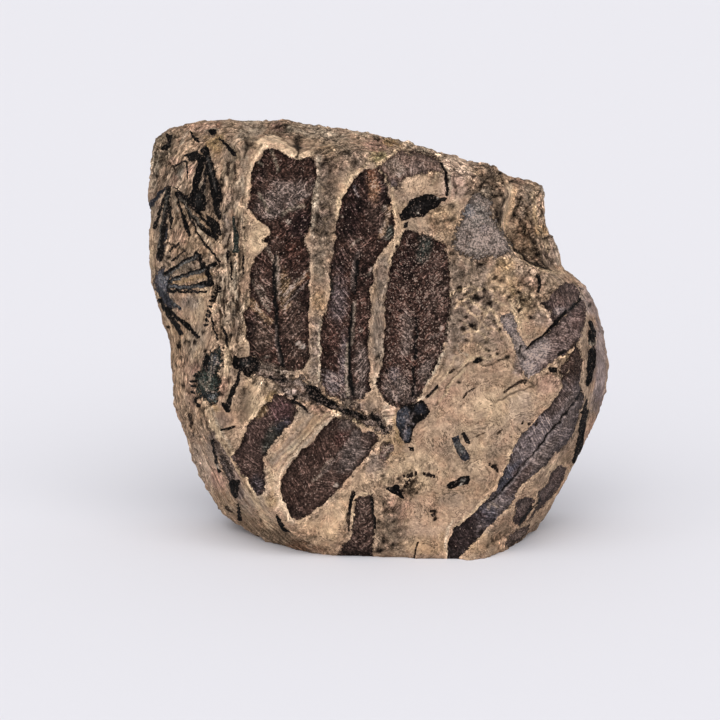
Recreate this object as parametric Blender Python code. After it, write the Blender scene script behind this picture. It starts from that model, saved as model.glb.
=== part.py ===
"""Fossil fern plate: one block of mudstone, split open along a bedding plane.

The block is drawn on a chart.  Chart x runs right and chart y runs down, both in
chart units, and depth runs away from the split face, in millimetres.  The chart is
scaled to the real width of the block, leaned back, and cut flat where it stands.
"""
import math

import bmesh
import bpy
import numpy as np
from mathutils import Vector, noise

# Driving dimensions, in metres and radians
PLATE_WIDTH = 0.160                 # left end to right end of the block
LEAN = math.radians(12)             # the split face leans back from upright
BACK_FLARE = 1.0                    # the block widens by 1 mm a metre for each mm of depth
PRISM_DEPTH = 0.050                 # depth of the blank that the block is shaped from
BLANK_CELL = 0.0016                 # cell of the blank before it is bent to shape
SHAPE_CELL = 0.0017                 # cell of the shaped block before its surface is worked
SNAP = 0.00002                      # how near the foot's cut counts as on it
TRIANGLES = 9800                    # triangles kept before the foot is cut off

LAYER = 0.0030                      # mean thickness of the block's layers
LAYER_RUN = 0.030                   # how far a layer runs before its broken edge changes
LAYER_REACH = 2.8                   # most that a layer stands in or out, in millimetres
LAYER_LEVEL = 0.75                  # share of its thickness before it slopes to the next
LAYER_WAVE = (2.0, 0.4)             # how far broad and middling lumps bend the layers, in mm
LAYER_SEEN = 0.35                   # share of the layers' reach kept where the front sees them
FACET_SIZE = 0.022                  # width of the tilted flats on the broken sides
FACET_SLOPE = 0.34                  # how steeply they tilt
FACET_BLEND = 0.07                  # share of their width over which two of them meet
BACK_STEP = 2.6                     # height of the back's split steps, in millimetres
BACK_STEP_RUN = 130.0               # chart units from one step to the next
BACK_STEP_CLIMB = (0.6, 0.8)        # the way they climb, across and down
BACK_STEP_START = 1.5               # steps already climbed at the middle of the block
BACK_STEP_LEVEL = 0.85              # share of each step that is level
BACK_STEP_STRAY = 0.7               # how far its edge strays, as a share of a step
BACK_STEP_STRAY_SIZE = 0.030        # size of those strays

# The surface's lumps: size, and height in millimetres
BROAD_LUMPS = (0.034, 0.7)
MIDDLE_LUMPS = (0.011, 0.4)
FINE_LUMPS = (0.0045, 0.2)
LUMPS_SINK = 0.3                    # their mean level lies this far in, in millimetres
SIDE_LUMPS = 0.4                    # height that middling lumps add on the sides
FACE_TURN = (0.35, 0.75)            # the face gives way to the side between these slopes
SEEN_TURN = (0.0, 0.3)              # and the side turns towards the front between these
HIDDEN_TURN = (-0.05, 0.5)          # and towards the back between these

MM = 0.001
NODE_NAME = "fossil_plate"
STONE_COLOUR = (0.39, 0.27, 0.18, 1.0)
STONE_ROUGHNESS = 0.85

# The chart: its span is the outline's widest reach, its origin the foot of the block
CHART_SPAN = 464.0
CHART_X = 376.0
CHART_Y = 561.5
CHART_MIDDLE = (360.0, 360.0)       # the flare spreads from here
RIM_DEPTH = 33.0                    # mean depth of the outline behind the split face
RIM_POWER = 1.15                    # how late the block falls back to its outline
CROWN_MIDDLE = (390, 345)           # the split face bulges most here
CROWN_REACH = 200                   # chart units over which the bulge falls back
CROWN_FALL = (2.5, 1.5)             # and how far, sideways and up or down, in millimetres
UNIT = PLATE_WIDTH / (CHART_SPAN * (1 + BACK_FLARE * RIM_DEPTH * MM))

# Outline of the whole block, clockwise from its upper left corner
OUTLINE = [
    (150.5, 140), (155, 134), (163, 130), (180, 126), (192, 123), (225, 123), (265, 122.5),
    (290, 123), (330, 128), (358, 131.5), (398, 141), (412, 146), (428, 152), (450, 156.5),
    (460, 158), (466, 163.5), (473, 166), (482, 163), (490, 163), (497, 168.5), (510, 174),
    (525, 175), (541, 180.5), (546, 188), (544.5, 202), (547, 216), (550, 234), (557.5, 243),
    (559, 258), (558, 270), (574, 276.5), (584.5, 288.5), (590, 298), (596, 310), (603.5, 333),
    (608, 360), (607.5, 376), (605, 394), (598.5, 413), (590.5, 438), (578.5, 461), (567, 482),
    (554, 501), (536, 526), (525, 540), (515, 547), (501, 556), (489, 563), (473, 568),
    (337, 568), (316, 564), (295, 556), (280, 547), (269, 541.5), (252, 531), (240, 523.5),
    (223, 515), (213, 501), (205, 477), (192.5, 455), (187.5, 437), (176.5, 412), (172, 399),
    (170, 370), (167, 342), (160, 318), (152, 283), (149, 250), (151, 220), (150, 211),
    (146, 199), (148.5, 175), (149, 155)]

# Edge of the flat split face; between it and the outline the block falls back
FACE_EDGE = [
    (240, 140), (262, 143), (280, 145), (300, 158), (320, 150), (395, 153), (440, 166),
    (470, 180), (500, 190), (530, 196), (540, 262), (556, 285), (566, 305), (575, 345),
    (573, 390), (560, 435), (535, 478), (512, 506), (488, 534), (465, 552), (440, 556),
    (395, 545), (337, 540), (300, 527), (272, 512), (252, 490), (234, 463), (218, 440),
    (207, 414), (210, 350), (216, 300), (222, 250), (227, 200)]

# Depth of the block at its outline, front and back, by bearing clockwise from the top
BEARING = (0, 45, 90, 130, 144, 148, 151, 156, 163, 176, 190, 200, 212, 225, 270, 315, 360)
FRONT_AT_OUTLINE = (27, 26, 26, 27, 21, 9, 2, -3, -4, 6, 8, 11, 24, 34, 35, 30, 27)
BACK_AT_OUTLINE = (40, 40, 40, 42, 46, 50, 54, 56, 58, 58, 58, 57, 54, 51, 50, 42, 40)
BEARING_CENTRE = (376, 345)
BACK_AT_HEAD = 47.0                 # depth of the back face level with the top
BACK_AT_FOOT = 60.0                 # and level with the foot
BACK_ROUNDING = 40.0                # chart units over which the back face falls to the outline

# The corner where the front layer has broken away, and how far into the block it goes
NOTCH = [
    (512, 90), (511, 190), (506, 214), (500, 229), (506, 237), (515, 252), (526, 261),
    (537, 268), (552, 271.5), (577, 276), (640, 290), (640, 90)]
NOTCH_SHARE = 0.42

# Leaf beds: outlines that lie lower than the stone around them, and how much lower
LEAF_ONE = [
    (268, 147), (288, 156), (310, 157), (316, 170), (311, 220), (303, 241), (310, 276),
    (308, 345), (306, 366), (288, 371), (256, 358), (243, 318), (250, 275), (258, 254),
    (270, 235), (262, 222), (248, 200), (251, 172)]
LEAF_TWO = [
    (368, 169), (384, 181), (393, 214), (393, 237), (374, 266), (369, 292), (370, 385),
    (360, 400), (328, 396), (321, 380), (322, 325), (330, 288), (337, 238), (342, 199),
    (354, 179)]
LEAF_THREE = [
    (405, 230), (430, 236), (448, 256), (450, 315), (445, 345), (425, 385), (413, 405),
    (390, 404), (378, 385), (385, 330), (388, 285), (397, 247)]
LOWER_LEAF = [
    (336, 417), (356, 424), (375, 432), (372, 450), (349, 477), (322, 505), (297, 520),
    (285, 503), (281, 482), (303, 450), (320, 432)]
OUTER_LEAF = [
    (448, 555), (464, 521), (497, 487), (515, 444), (561, 391), (580, 364), (585, 397),
    (562, 449), (520, 485), (464, 552)]
LEAF_BEDS = [
    (LEAF_ONE, 1.5), (LEAF_TWO, 0.8), (LEAF_THREE, 0.6), (LOWER_LEAF, 1.3), (OUTER_LEAF, 0.7)]
BED_WALL = 5.0                      # chart units over which a bed's wall falls

# Ridges: the line of each crest, its half width and its height
RIDGE_CREST = 0.2                   # share of the half width that is level
HEM = [(250, 195), (251, 172), (262, 148), (272, 139), (285, 147), (298, 158), (312, 153)]
RIB = [(399, 230), (388, 256), (381, 285), (377, 320), (376, 375)]
CRESCENT = [
    (338, 410), (312, 428), (292, 447), (277, 462), (272, 485), (281, 510), (294, 531)]
LEDGE = [(238, 214), (258, 232), (262, 246), (250, 262)]
STRIP = [(322, 165), (321, 230), (318, 300), (315, 385)]
RIDGES = [
    (HEM, 9.0, 1.4), (RIB, 10.0, 1.9), (CRESCENT, 15.0, 2.0), (LEDGE, 12.0, 1.3),
    (STRIP, 9.0, 0.7)]

# Grooves: the midribs of the largest leaves and a long crack
MIDRIB_ONE = [(275, 255), (275, 300), (278, 345), (283, 366)]
MIDRIB_TWO = [(357, 262), (352, 310), (349, 360), (354, 395)]
MIDRIB_OUTER = [(489, 503), (524, 466), (555, 427), (583, 390)]
CRACK = [(441, 163), (446, 172), (447, 196)]
GROOVES = [
    (MIDRIB_ONE, 4.0, 0.7), (MIDRIB_TWO, 4.0, 0.7), (MIDRIB_OUTER, 4.0, 0.8), (CRACK, 4.0, 1.0)]

# Pits in the rough middle of the face: chart place, radius and depth
PIT_BRIM = 1.3                      # radii at which a pit starts
PIT_FLOOR = 0.3                     # and at which it is at its deepest
PITS = [
    (463, 275, 5, 1.6), (475, 296, 7, 1.8), (490, 302, 5, 1.4), (474, 325, 7, 2.0),
    (458, 316, 5, 1.6), (478, 361, 5, 1.6), (500, 360, 4, 1.2), (538, 281, 5, 1.5),
    (499, 270, 6, 1.2), (240, 364, 7, 1.2), (212, 375, 8, 1.2), (236, 490, 6, 1.4)]


def clear_scene():
    """Remove whatever the scene holds."""
    for old in list(bpy.data.objects):
        bpy.data.objects.remove(old, do_unlink=True)


def chart_to_view(x, y):
    """Metres across and up, for a place on the chart."""
    return (x - CHART_X) * UNIT, (CHART_Y - y) * UNIT


def read_points(mesh):
    """The mesh's points as an array, in metres."""
    flat = np.empty(len(mesh.vertices) * 3, dtype=np.float32)
    mesh.vertices.foreach_get("co", flat)
    return flat.reshape(-1, 3).astype(float)


def write_points(mesh, points):
    """Put an array of points back into the mesh."""
    mesh.vertices.foreach_set("co", points.astype(np.float32).ravel())
    mesh.update()


def chart_places(points):
    """Chart x and y of points across, up and into the block."""
    return np.column_stack((CHART_X + points[:, 0] / UNIT, CHART_Y - points[:, 1] / UNIT))


def smooth_step(low, high, value):
    """Rise from 0 at low to 1 at high, level at both ends."""
    share = np.clip((value - low) / (high - low), 0.0, 1.0)
    return share * share * (3 - 2 * share)


def line_distance(places, line):
    """Distance of each place from the nearest stretch of an open line."""
    best = np.full(len(places), np.inf)
    for start, end in zip(line[:-1], line[1:]):
        start = np.array(start, dtype=float)
        run = np.array(end, dtype=float) - start
        along = np.clip((places - start) @ run / (run @ run), 0.0, 1.0)
        gap = places - start - along[:, None] * run
        best = np.minimum(best, np.hypot(gap[:, 0], gap[:, 1]))
    return best


def inside(places, outline):
    """True where a place is inside a closed outline."""
    result = np.zeros(len(places), dtype=bool)
    for (x1, y1), (x2, y2) in zip(outline, outline[1:] + outline[:1]):
        if y1 == y2:
            continue
        between = (places[:, 1] > min(y1, y2)) & (places[:, 1] <= max(y1, y2))
        crossing = x1 + (places[:, 1] - y1) * (x2 - x1) / (y2 - y1)
        result ^= between & (places[:, 0] < crossing)
    return result


def edge_distance(places, outline):
    """Distance to a closed outline, positive inside it and negative outside."""
    gap = line_distance(places, outline + outline[:1])
    return np.where(inside(places, outline), gap, -gap)


def noise_at(points, size, seed, octaves=3):
    """Even noise of about -1 to 1 over points in metres, with features of a given size."""
    shift = Vector((seed * 17.3, seed * 5.1, seed * 9.7))
    values = [noise.fractal(Vector(point) / size + shift, 1.0, 2.0, octaves) for point in points]
    return np.array(values)


def bake_modifiers(plate):
    """Turn the object's modifiers into its own mesh."""
    graph = bpy.context.evaluated_depsgraph_get()
    baked = bpy.data.meshes.new_from_object(plate.evaluated_get(graph))
    plate.modifiers.clear()
    plate.data = baked


def add_prism(name, outline, front, back):
    """A straight block with a chart outline, between two depths in metres."""
    shape = bmesh.new()
    corners = [shape.verts.new((*chart_to_view(x, y), front)) for x, y in outline]
    face = shape.faces.new(corners)
    side = bmesh.ops.extrude_face_region(shape, geom=[face])["geom"]
    moved = [item for item in side if isinstance(item, bmesh.types.BMVert)]
    bmesh.ops.translate(shape, verts=moved, vec=(0, 0, back - front))
    bmesh.ops.triangulate(shape, faces=shape.faces)
    bmesh.ops.recalc_face_normals(shape, faces=shape.faces)
    mesh = bpy.data.meshes.new(name)
    shape.to_mesh(mesh)
    shape.free()
    prism = bpy.data.objects.new(name, mesh)
    bpy.context.scene.collection.objects.link(prism)
    return prism


def remesh(plate, cell):
    """Give the block an even skin of small quads."""
    skin = plate.modifiers.new("skin", "REMESH")
    skin.mode = "VOXEL"
    skin.voxel_size = cell
    bake_modifiers(plate)


def cut_notch(plate):
    """Break the front layer away at the upper right corner."""
    cutter = add_prism("notch_cutter", NOTCH, -PRISM_DEPTH, PRISM_DEPTH * NOTCH_SHARE)
    cut = plate.modifiers.new("notch", "BOOLEAN")
    cut.operation = "DIFFERENCE"
    cut.solver = "EXACT"
    cut.object = cutter
    bake_modifiers(plate)
    bpy.data.objects.remove(cutter, do_unlink=True)


def by_bearing(places, values):
    """A value read by each place's bearing from the middle of the block."""
    across = places[:, 0] - BEARING_CENTRE[0]
    up = BEARING_CENTRE[1] - places[:, 1]
    bearing = np.degrees(np.arctan2(across, up)) % 360
    return np.interp(bearing, BEARING, values)


def front_depth(places):
    """Depth of the front surface in metres: flat face, then falling to the outline."""
    rim_gap = np.maximum(edge_distance(places, OUTLINE), 0.0)
    face_gap = np.maximum(-edge_distance(places, FACE_EDGE), 0.0)
    fall = face_gap / np.maximum(face_gap + rim_gap, 0.001)
    from_crown = (places - np.array(CROWN_MIDDLE)) / CROWN_REACH
    crown = from_crown[:, 0] ** 2 * CROWN_FALL[0] + from_crown[:, 1] ** 2 * CROWN_FALL[1]
    return (crown + by_bearing(places, FRONT_AT_OUTLINE) * fall ** RIM_POWER) * MM


def terraces(value):
    """Level steps, each rising by 1 over a short stretch."""
    step = np.floor(value)
    return step + smooth_step(BACK_STEP_LEVEL, 1.0, value - step)


def back_steps(places):
    """Height of the steps that the back split along, in millimetres."""
    across = (places[:, 0] - BEARING_CENTRE[0]) * BACK_STEP_CLIMB[0]
    down = (places[:, 1] - BEARING_CENTRE[1]) * BACK_STEP_CLIMB[1]
    flat = np.column_stack((places * UNIT, np.zeros(len(places))))
    stray = BACK_STEP_STRAY * noise_at(flat, BACK_STEP_STRAY_SIZE, 4)
    level = BACK_STEP_START + (across + down) / BACK_STEP_RUN + stray
    return BACK_STEP * (terraces(level) - 1.0)


def back_depth(places):
    """Depth of the back surface in metres: a stepped split face, rounded to the outline."""
    rim_gap = np.maximum(edge_distance(places, OUTLINE), 0.0)
    height = (places[:, 1] - OUTLINE[0][1]) / (CHART_Y - OUTLINE[0][1])
    face = BACK_AT_HEAD + (BACK_AT_FOOT - BACK_AT_HEAD) * np.clip(height, 0, 1)
    face += back_steps(places)
    fall = np.clip(1 - rim_gap / BACK_ROUNDING, 0, 1) ** 2
    return (face + (by_bearing(places, BACK_AT_OUTLINE) - face) * fall) * MM


def bend_to_shape(plate):
    """Bend the straight blank between its front and back surfaces."""
    points = read_points(plate.data)
    places = chart_places(points)
    front = front_depth(places)
    share = points[:, 2] / PRISM_DEPTH
    points[:, 2] = front + (back_depth(places) - front) * share
    write_points(plate.data, points)


def vertex_normals(mesh):
    """Outward normals of the mesh's points."""
    flat = np.empty(len(mesh.vertices) * 3, dtype=np.float32)
    mesh.vertices.foreach_get("normal", flat)
    return flat.reshape(-1, 3).astype(float)


def front_relief(places):
    """Height of the split face's beds, ridges, grooves and pits, in millimetres."""
    height = np.zeros(len(places))
    for outline, drop in LEAF_BEDS:
        height -= drop * smooth_step(-BED_WALL / 2, BED_WALL / 2, edge_distance(places, outline))
    for line, half_width, rise in RIDGES:
        crest = half_width * RIDGE_CREST
        height += rise * smooth_step(half_width, crest, line_distance(places, line))
    for line, half_width, drop in GROOVES:
        height -= drop * smooth_step(half_width, 0.0, line_distance(places, line))
    for x, y, radius, drop in PITS:
        gap = np.hypot(places[:, 0] - x, places[:, 1] - y)
        height -= drop * smooth_step(radius * PIT_BRIM, radius * PIT_FLOOR, gap)
    return height


def layer_reach(points, layer):
    """How far a numbered layer stands out, -1 to 1, changing slowly along it."""
    spread = points[:, :2] / LAYER_RUN
    places = [Vector((number * 7.3, x, y)) for number, (x, y) in zip(layer, spread)]
    return np.array([noise.noise(place) for place in places])


def broken_layers(points, depth):
    """Broken edges of the layers on the sides, -1 to 1."""
    layer = depth / LAYER
    number = np.floor(layer)
    to_next = smooth_step(LAYER_LEVEL, 1.0, layer - number)
    return layer_reach(points, number) * (1 - to_next) + layer_reach(points, number + 1) * to_next


def fracture_facets(points):
    """Tilted flats of the broken sides, in millimetres, each on its own random slope."""
    heights = []
    for point in points:
        place = Vector(point) / FACET_SIZE
        gaps, sites = noise.voronoi(place)
        shares = [math.exp((gaps[0] - gap) / FACET_BLEND) for gap in gaps]
        slopes = [noise.cell_vector(site) - Vector((0.5, 0.5, 0.5)) for site in sites]
        parts = [share * (place - site).dot(slope)
                 for share, site, slope in zip(shares, sites, slopes)]
        heights.append(sum(parts) / sum(shares))
    return np.array(heights) * FACET_SLOPE * FACET_SIZE / MM


def work_surface(plate):
    """Work the split face, the layered sides, the stepped back and the overall unevenness."""
    mesh = plate.data
    points = read_points(mesh)
    normals = vertex_normals(mesh)
    places = chart_places(points)
    facing_front = smooth_step(*FACE_TURN, -normals[:, 2])
    facing_side = 1 - smooth_step(*FACE_TURN, np.abs(normals[:, 2]))
    seen_side = smooth_step(*SEEN_TURN, -normals[:, 2])
    broad = noise_at(points, BROAD_LUMPS[0], 1)
    middle = noise_at(points, MIDDLE_LUMPS[0], 2)
    fine = noise_at(points, FINE_LUMPS[0], 3)
    bent = points[:, 2] + (LAYER_WAVE[0] * broad + LAYER_WAVE[1] * middle) * MM
    layers = LAYER_REACH * broken_layers(points, bent)
    lift = BROAD_LUMPS[1] * broad + MIDDLE_LUMPS[1] * middle + FINE_LUMPS[1] * fine - LUMPS_SINK
    lift += facing_front * front_relief(places)
    lift += facing_side * (layers * (1 - (1 - LAYER_SEEN) * seen_side) + SIDE_LUMPS * middle)
    lift += smooth_step(*HIDDEN_TURN, normals[:, 2]) * fracture_facets(points)
    points += normals * (lift * MM)[:, None]
    write_points(mesh, points)


def thin_out(plate):
    """Keep only as many triangles as the form needs."""
    plate.data.calc_loop_triangles()
    thin = plate.modifiers.new("thin_out", "DECIMATE")
    thin.decimate_type = "COLLAPSE"
    thin.ratio = TRIANGLES / len(plate.data.loop_triangles)
    bake_modifiers(plate)


def stand_up(plate):
    """Flare the block towards its back, lean it back and turn it upright."""
    points = read_points(plate.data)
    middle = chart_to_view(*CHART_MIDDLE)
    flare = 1 + BACK_FLARE * points[:, 2]
    across = middle[0] + (points[:, 0] - middle[0]) * flare
    up = middle[1] + (points[:, 1] - middle[1]) * flare
    depth = points[:, 2]
    away = up * math.sin(LEAN) + depth * math.cos(LEAN)
    height = up * math.cos(LEAN) - depth * math.sin(LEAN)
    write_points(plate.data, np.column_stack((across, away, height)))


def drop_crumbs(shape):
    """Delete everything that the cut has parted from the largest body."""
    waiting = set(shape.verts)
    bodies = []
    while waiting:
        body = [waiting.pop()]
        for corner in body:
            near = {edge.other_vert(corner) for edge in corner.link_edges} & waiting
            waiting -= near
            body.extend(near)
        bodies.append(body)
    bodies.sort(key=len)
    crumbs = [corner for body in bodies[:-1] for corner in body]
    bmesh.ops.delete(shape, geom=crumbs, context="VERTS")


def cut_base(plate):
    """Cut the foot off flat at height 0 and close the cut."""
    shape = bmesh.new()
    shape.from_mesh(plate.data)
    everything = shape.verts[:] + shape.edges[:] + shape.faces[:]
    bmesh.ops.bisect_plane(
        shape, geom=everything, dist=SNAP, plane_co=(0, 0, 0), plane_no=(0, 0, -1),
        clear_outer=True)
    for corner in shape.verts:
        if abs(corner.co.z) <= SNAP:
            corner.co.z = 0.0
    drop_crumbs(shape)
    rim = [edge for edge in shape.edges if edge.is_boundary]
    bmesh.ops.contextual_create(shape, geom=rim)
    bmesh.ops.dissolve_degenerate(shape, dist=SNAP, edges=shape.edges)
    bmesh.ops.triangulate(shape, faces=shape.faces)
    bmesh.ops.recalc_face_normals(shape, faces=shape.faces)
    shape.to_mesh(plate.data)
    shape.free()


def centre_on_origin(plate):
    """Put the origin under the middle of the block's box."""
    points = read_points(plate.data)
    low = points.min(axis=0)
    high = points.max(axis=0)
    points[:, :2] -= (low[:2] + high[:2]) / 2
    write_points(plate.data, points)


def stone_material():
    """Dull tan mudstone."""
    stone = bpy.data.materials.new("mudstone")
    stone.use_nodes = True
    shader = stone.node_tree.nodes["Principled BSDF"]
    shader.inputs["Base Color"].default_value = STONE_COLOUR
    shader.inputs["Roughness"].default_value = STONE_ROUGHNESS
    shader.inputs["Metallic"].default_value = 0.0
    return stone


def make_plate():
    """Model the plate as one block."""
    plate = add_prism(NODE_NAME, OUTLINE, 0.0, PRISM_DEPTH)
    cut_notch(plate)
    remesh(plate, BLANK_CELL)
    bend_to_shape(plate)
    remesh(plate, SHAPE_CELL)
    work_surface(plate)
    thin_out(plate)
    stand_up(plate)
    cut_base(plate)
    centre_on_origin(plate)
    plate.data.materials.clear()
    plate.data.materials.append(stone_material())
    return plate


clear_scene()
make_plate()
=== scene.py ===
import math

import bpy
import numpy as np
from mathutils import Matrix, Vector, noise


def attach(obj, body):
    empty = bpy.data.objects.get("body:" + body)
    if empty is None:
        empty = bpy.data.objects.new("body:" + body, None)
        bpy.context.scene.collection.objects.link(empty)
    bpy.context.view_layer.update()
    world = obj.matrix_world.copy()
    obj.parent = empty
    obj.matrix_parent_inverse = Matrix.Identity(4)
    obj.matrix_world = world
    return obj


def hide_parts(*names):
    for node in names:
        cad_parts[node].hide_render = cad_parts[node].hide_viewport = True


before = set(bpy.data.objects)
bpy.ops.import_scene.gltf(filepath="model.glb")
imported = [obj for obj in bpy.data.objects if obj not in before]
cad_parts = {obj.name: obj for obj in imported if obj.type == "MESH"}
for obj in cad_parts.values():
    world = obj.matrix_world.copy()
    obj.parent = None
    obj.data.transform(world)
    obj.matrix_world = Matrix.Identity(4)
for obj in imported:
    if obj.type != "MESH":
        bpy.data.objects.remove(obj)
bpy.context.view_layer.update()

# Fossil fern plate: the split block of mudstone with its brown leaf films and black
# plant scraps.  A finer copy of the solid is carved and then painted on its points.
#
# What the split face shows is drawn on a chart.  Chart x runs right and chart y runs
# down; the chart is scaled to the real width of the block and leans back with it.

MM = 0.001
NODE = "fossil_plate"

# Driving dimensions of the block, in metres and radians
PLATE_WIDTH = 0.160
LEAN = math.radians(12)             # the split face leans back from upright
EYE_DISTANCE = 1.0                  # from the chart to the eye; the block flares to match

# The chart, and where its origin lies in the frame
CHART_SPAN = 464.0
CHART_X = 376.0
CHART_Y = 561.5
CHART_MIDDLE = (360.0, 360.0)
CHART_EDGE = 720.0
RIM_DEPTH = 33.0
UNIT = PLATE_WIDTH / (CHART_SPAN * (1 + RIM_DEPTH * MM / EYE_DISTANCE))
ORIGIN = (-0.000424, -0.037273)
UNIT_MM = UNIT / MM

# The mesh
VOXEL = 2.12 * MM                   # cell of the whole block, halved on the face
SMOOTHING = 5                       # passes that round the solid's flats off
FINE_REACH = 1.3                    # chart units on each side of an edge that are halved again
FOOT = 0.5 * MM                     # what lies lower than this is the flat foot
FAR = 14.0                          # chart units past which a distance isn't measured

# Tones, as shares of full red, green and blue seen by eye
def tone(red, green, blue):
    """A surface's own colour, for the colour that it shows under this light."""
    seen = np.array((red, green, blue)) / 255.0
    linear = np.where(seen > 0.04045, ((seen + 0.055) / 1.055) ** 2.4, seen / 12.92)
    return linear / LIGHT_LEVEL


LIGHT_LEVEL = 1.06                  # how bright a white surface would look on the face
TAN = tone(162, 136, 113)
PALE_TAN = tone(190, 164, 134)
WARM_TAN = tone(164, 136, 108)
OCHRE = tone(152, 124, 86)
OLIVE = tone(112, 101, 70)
OLIVE_GRAY = tone(116, 103, 87)
GREEN_GRAY = tone(118, 109, 96)
GRAY_TAN = tone(138, 122, 108)
LIGHT_GRAY_TAN = tone(168, 152, 132)
STONE_GRAY = tone(128, 115, 105)
LILAC_GRAY = tone(132, 119, 116)
BLUE_GRAY = tone(110, 109, 111)
PINK_TAN = tone(176, 142, 122)
ROSE = tone(168, 130, 114)
RUST = tone(118, 76, 54)
BROWN = tone(104, 84, 68)
DARK_BROWN = tone(60, 48, 39)
DEEP_BROWN = tone(34, 26, 21)
BLACK_BROWN = tone(22, 17, 14)
WHITE = tone(226, 218, 206)
UMBER = tone(50, 36, 31)
RED_UMBER = tone(60, 38, 31)
BLACK_UMBER = tone(26, 18, 17)
FILM_GRAY = tone(92, 80, 74)
FILM_LILAC = tone(104, 93, 92)
FILM_BLUE = tone(62, 62, 70)
FILM_BROWN = tone(66, 52, 46)
SLATE = tone(44, 44, 48)
GREEN_SLATE = tone(46, 50, 45)
COAL = tone(15, 13, 12)
SOOT = tone(25, 22, 20)

# Leaf films of the face, each outline clockwise
LEAF_ONE = [
    (268, 147), (275, 149), (283, 152), (288, 156), (294, 159.5), (300, 160), (305, 158),
    (310, 156.5), (314, 162), (316.5, 168), (316.5, 175), (315, 183), (312, 200), (311, 220),
    (310, 228), (304, 237), (303, 241), (306, 246), (309, 251), (310, 276), (309, 310),
    (308, 345), (309, 358), (306, 366), (298, 370), (288, 371), (276, 368), (268, 367),
    (262, 362), (256, 358), (250, 357), (249, 348), (247, 335), (243, 318), (244, 311),
    (250, 304), (249.5, 282), (250, 275), (251.5, 265), (258, 254), (267, 247), (269, 243),
    (263, 241), (270, 235), (270, 230), (262, 222), (256, 217), (247, 208), (250, 198),
    (251, 190), (251, 172), (255, 163), (260, 160), (264, 152)]
LEAF_TWO = [
    (368, 169), (376, 169), (381, 173), (384, 181), (387, 188), (390, 198), (393, 214),
    (395, 230), (393, 237), (385, 247), (376, 260), (373, 266), (374, 279), (369, 292),
    (371, 305), (369, 325), (368, 345), (370, 370), (369, 382), (371, 390), (360, 400),
    (345, 400), (328, 396), (325, 390), (321, 383), (321, 330), (323, 322), (327, 312),
    (329, 300), (330, 288), (329, 275), (330, 268), (334, 250), (334, 243), (337, 238),
    (335, 231), (336, 225), (339, 215), (340, 206), (342, 199), (346, 193), (350, 186),
    (354, 179), (359, 174)]
LEAF_THREE = [
    (405, 230), (412, 231), (420, 233), (430, 236), (438, 240), (445, 246), (448, 256),
    (450, 280), (450, 315), (447, 325), (445, 345), (440, 355), (436, 365), (431, 375),
    (425, 385), (420, 395), (413, 405), (400, 408), (385, 402), (380, 392), (376, 385),
    (380, 372), (383, 362), (385, 330), (385, 300), (388, 285), (390, 270), (393, 258),
    (397, 247)]
WING = [
    (376, 166), (385, 162), (392, 156), (400, 153), (412, 152), (428, 154), (438, 158),
    (441, 166), (444, 172), (428, 172), (420, 173), (412, 176), (405, 178), (401, 181),
    (399, 188), (396, 190), (390, 186), (386, 178), (381, 172)]
LOWER_LEAF_A = [
    (275, 395), (285, 395), (292, 401), (298, 409), (292, 424), (284, 429), (279, 437),
    (270, 448), (263, 458), (264, 467), (266, 483), (263, 494), (257.5, 495), (252, 490),
    (248, 481), (243, 476), (233.5, 460), (231, 458), (239, 448), (245, 434), (247, 426),
    (257.5, 416), (263, 405), (270, 402)]
LOWER_LEAF_B = [
    (336, 417.5), (349, 419), (356, 424), (363, 433.5), (367, 432.5), (375, 432.5),
    (377.5, 438), (372, 450), (365, 459), (359, 466), (349, 477), (342, 485), (333, 494.5),
    (322.5, 505), (311, 512), (305, 517.5), (297, 520), (291, 517.5), (284.5, 502.5),
    (280.5, 491), (281, 482), (287, 470), (295, 459), (303, 450), (312, 443), (320, 432.5),
    (328, 424.5)]
OUTER_LEAF = [
    (446.5, 559), (448, 544), (453, 530), (457.5, 525), (464, 521), (476, 511), (487, 499.5),
    (497.5, 487), (503, 475), (509, 460), (515, 444), (522, 435), (535.5, 421), (549, 406.5),
    (561, 391.5), (563, 377), (569.5, 371), (580, 364), (581, 377), (580, 384), (585, 397),
    (577, 422.5), (571.5, 438), (562, 449), (553, 456), (538, 472), (520.5, 485.5),
    (515, 496), (515, 499.5), (501, 514), (487, 528), (476, 541), (464, 552), (457.5, 559)]
CORNER_LEAF_UPPER = [
    (540.5, 304), (547, 300.5), (552, 294), (557.5, 288), (567, 282), (575, 283), (582, 289),
    (581, 298), (573, 307), (563, 317), (554, 325), (551, 318), (553, 312), (546, 308)]
CORNER_LEAF_LOWER = [
    (524, 351), (531, 345), (540, 339), (549, 331), (556, 325), (562, 318), (569, 311),
    (575, 306), (581, 300), (585, 302), (586, 317), (582, 335), (577, 344), (566, 354), (554, 359.5), (546.5, 367), (537, 373),
    (529, 378.5), (523.5, 369), (518, 357.5)]
GRAY_SCRAP = [
    (498, 318), (505, 313), (511.5, 311), (515, 317), (518, 332), (522, 340), (526, 347),
    (531, 360), (530, 377), (524, 374), (518, 357), (511.5, 340), (503, 327.5)]
FOOT_LEAF = [
    (356, 498), (371, 494.5), (374, 502.5), (373, 510.5), (376.5, 520), (375, 533.5),
    (372, 556), (337.5, 556), (344, 545), (351, 539), (352, 525.5), (354.5, 514), (354.5, 505)]
LOBE_ONE = [
    (518, 500.5), (527.5, 497), (535.5, 500.5), (531, 510), (525, 521), (519.5, 526),
    (513.5, 522.5), (515, 512)]
LOBE_TWO = [
    (551.5, 472), (561, 465), (566.5, 468.5), (564, 480), (558.5, 489), (549, 499.5),
    (538, 510), (531, 519), (527, 522), (538, 504), (539, 492.5), (548, 483)]
LOBE_THREE = [(505, 546), (510, 535), (519, 529), (530, 524), (527, 536), (517, 545)]
SEED = [(383, 442), (392.5, 444), (393, 451), (385.5, 459), (381, 458), (380, 450)]
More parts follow.
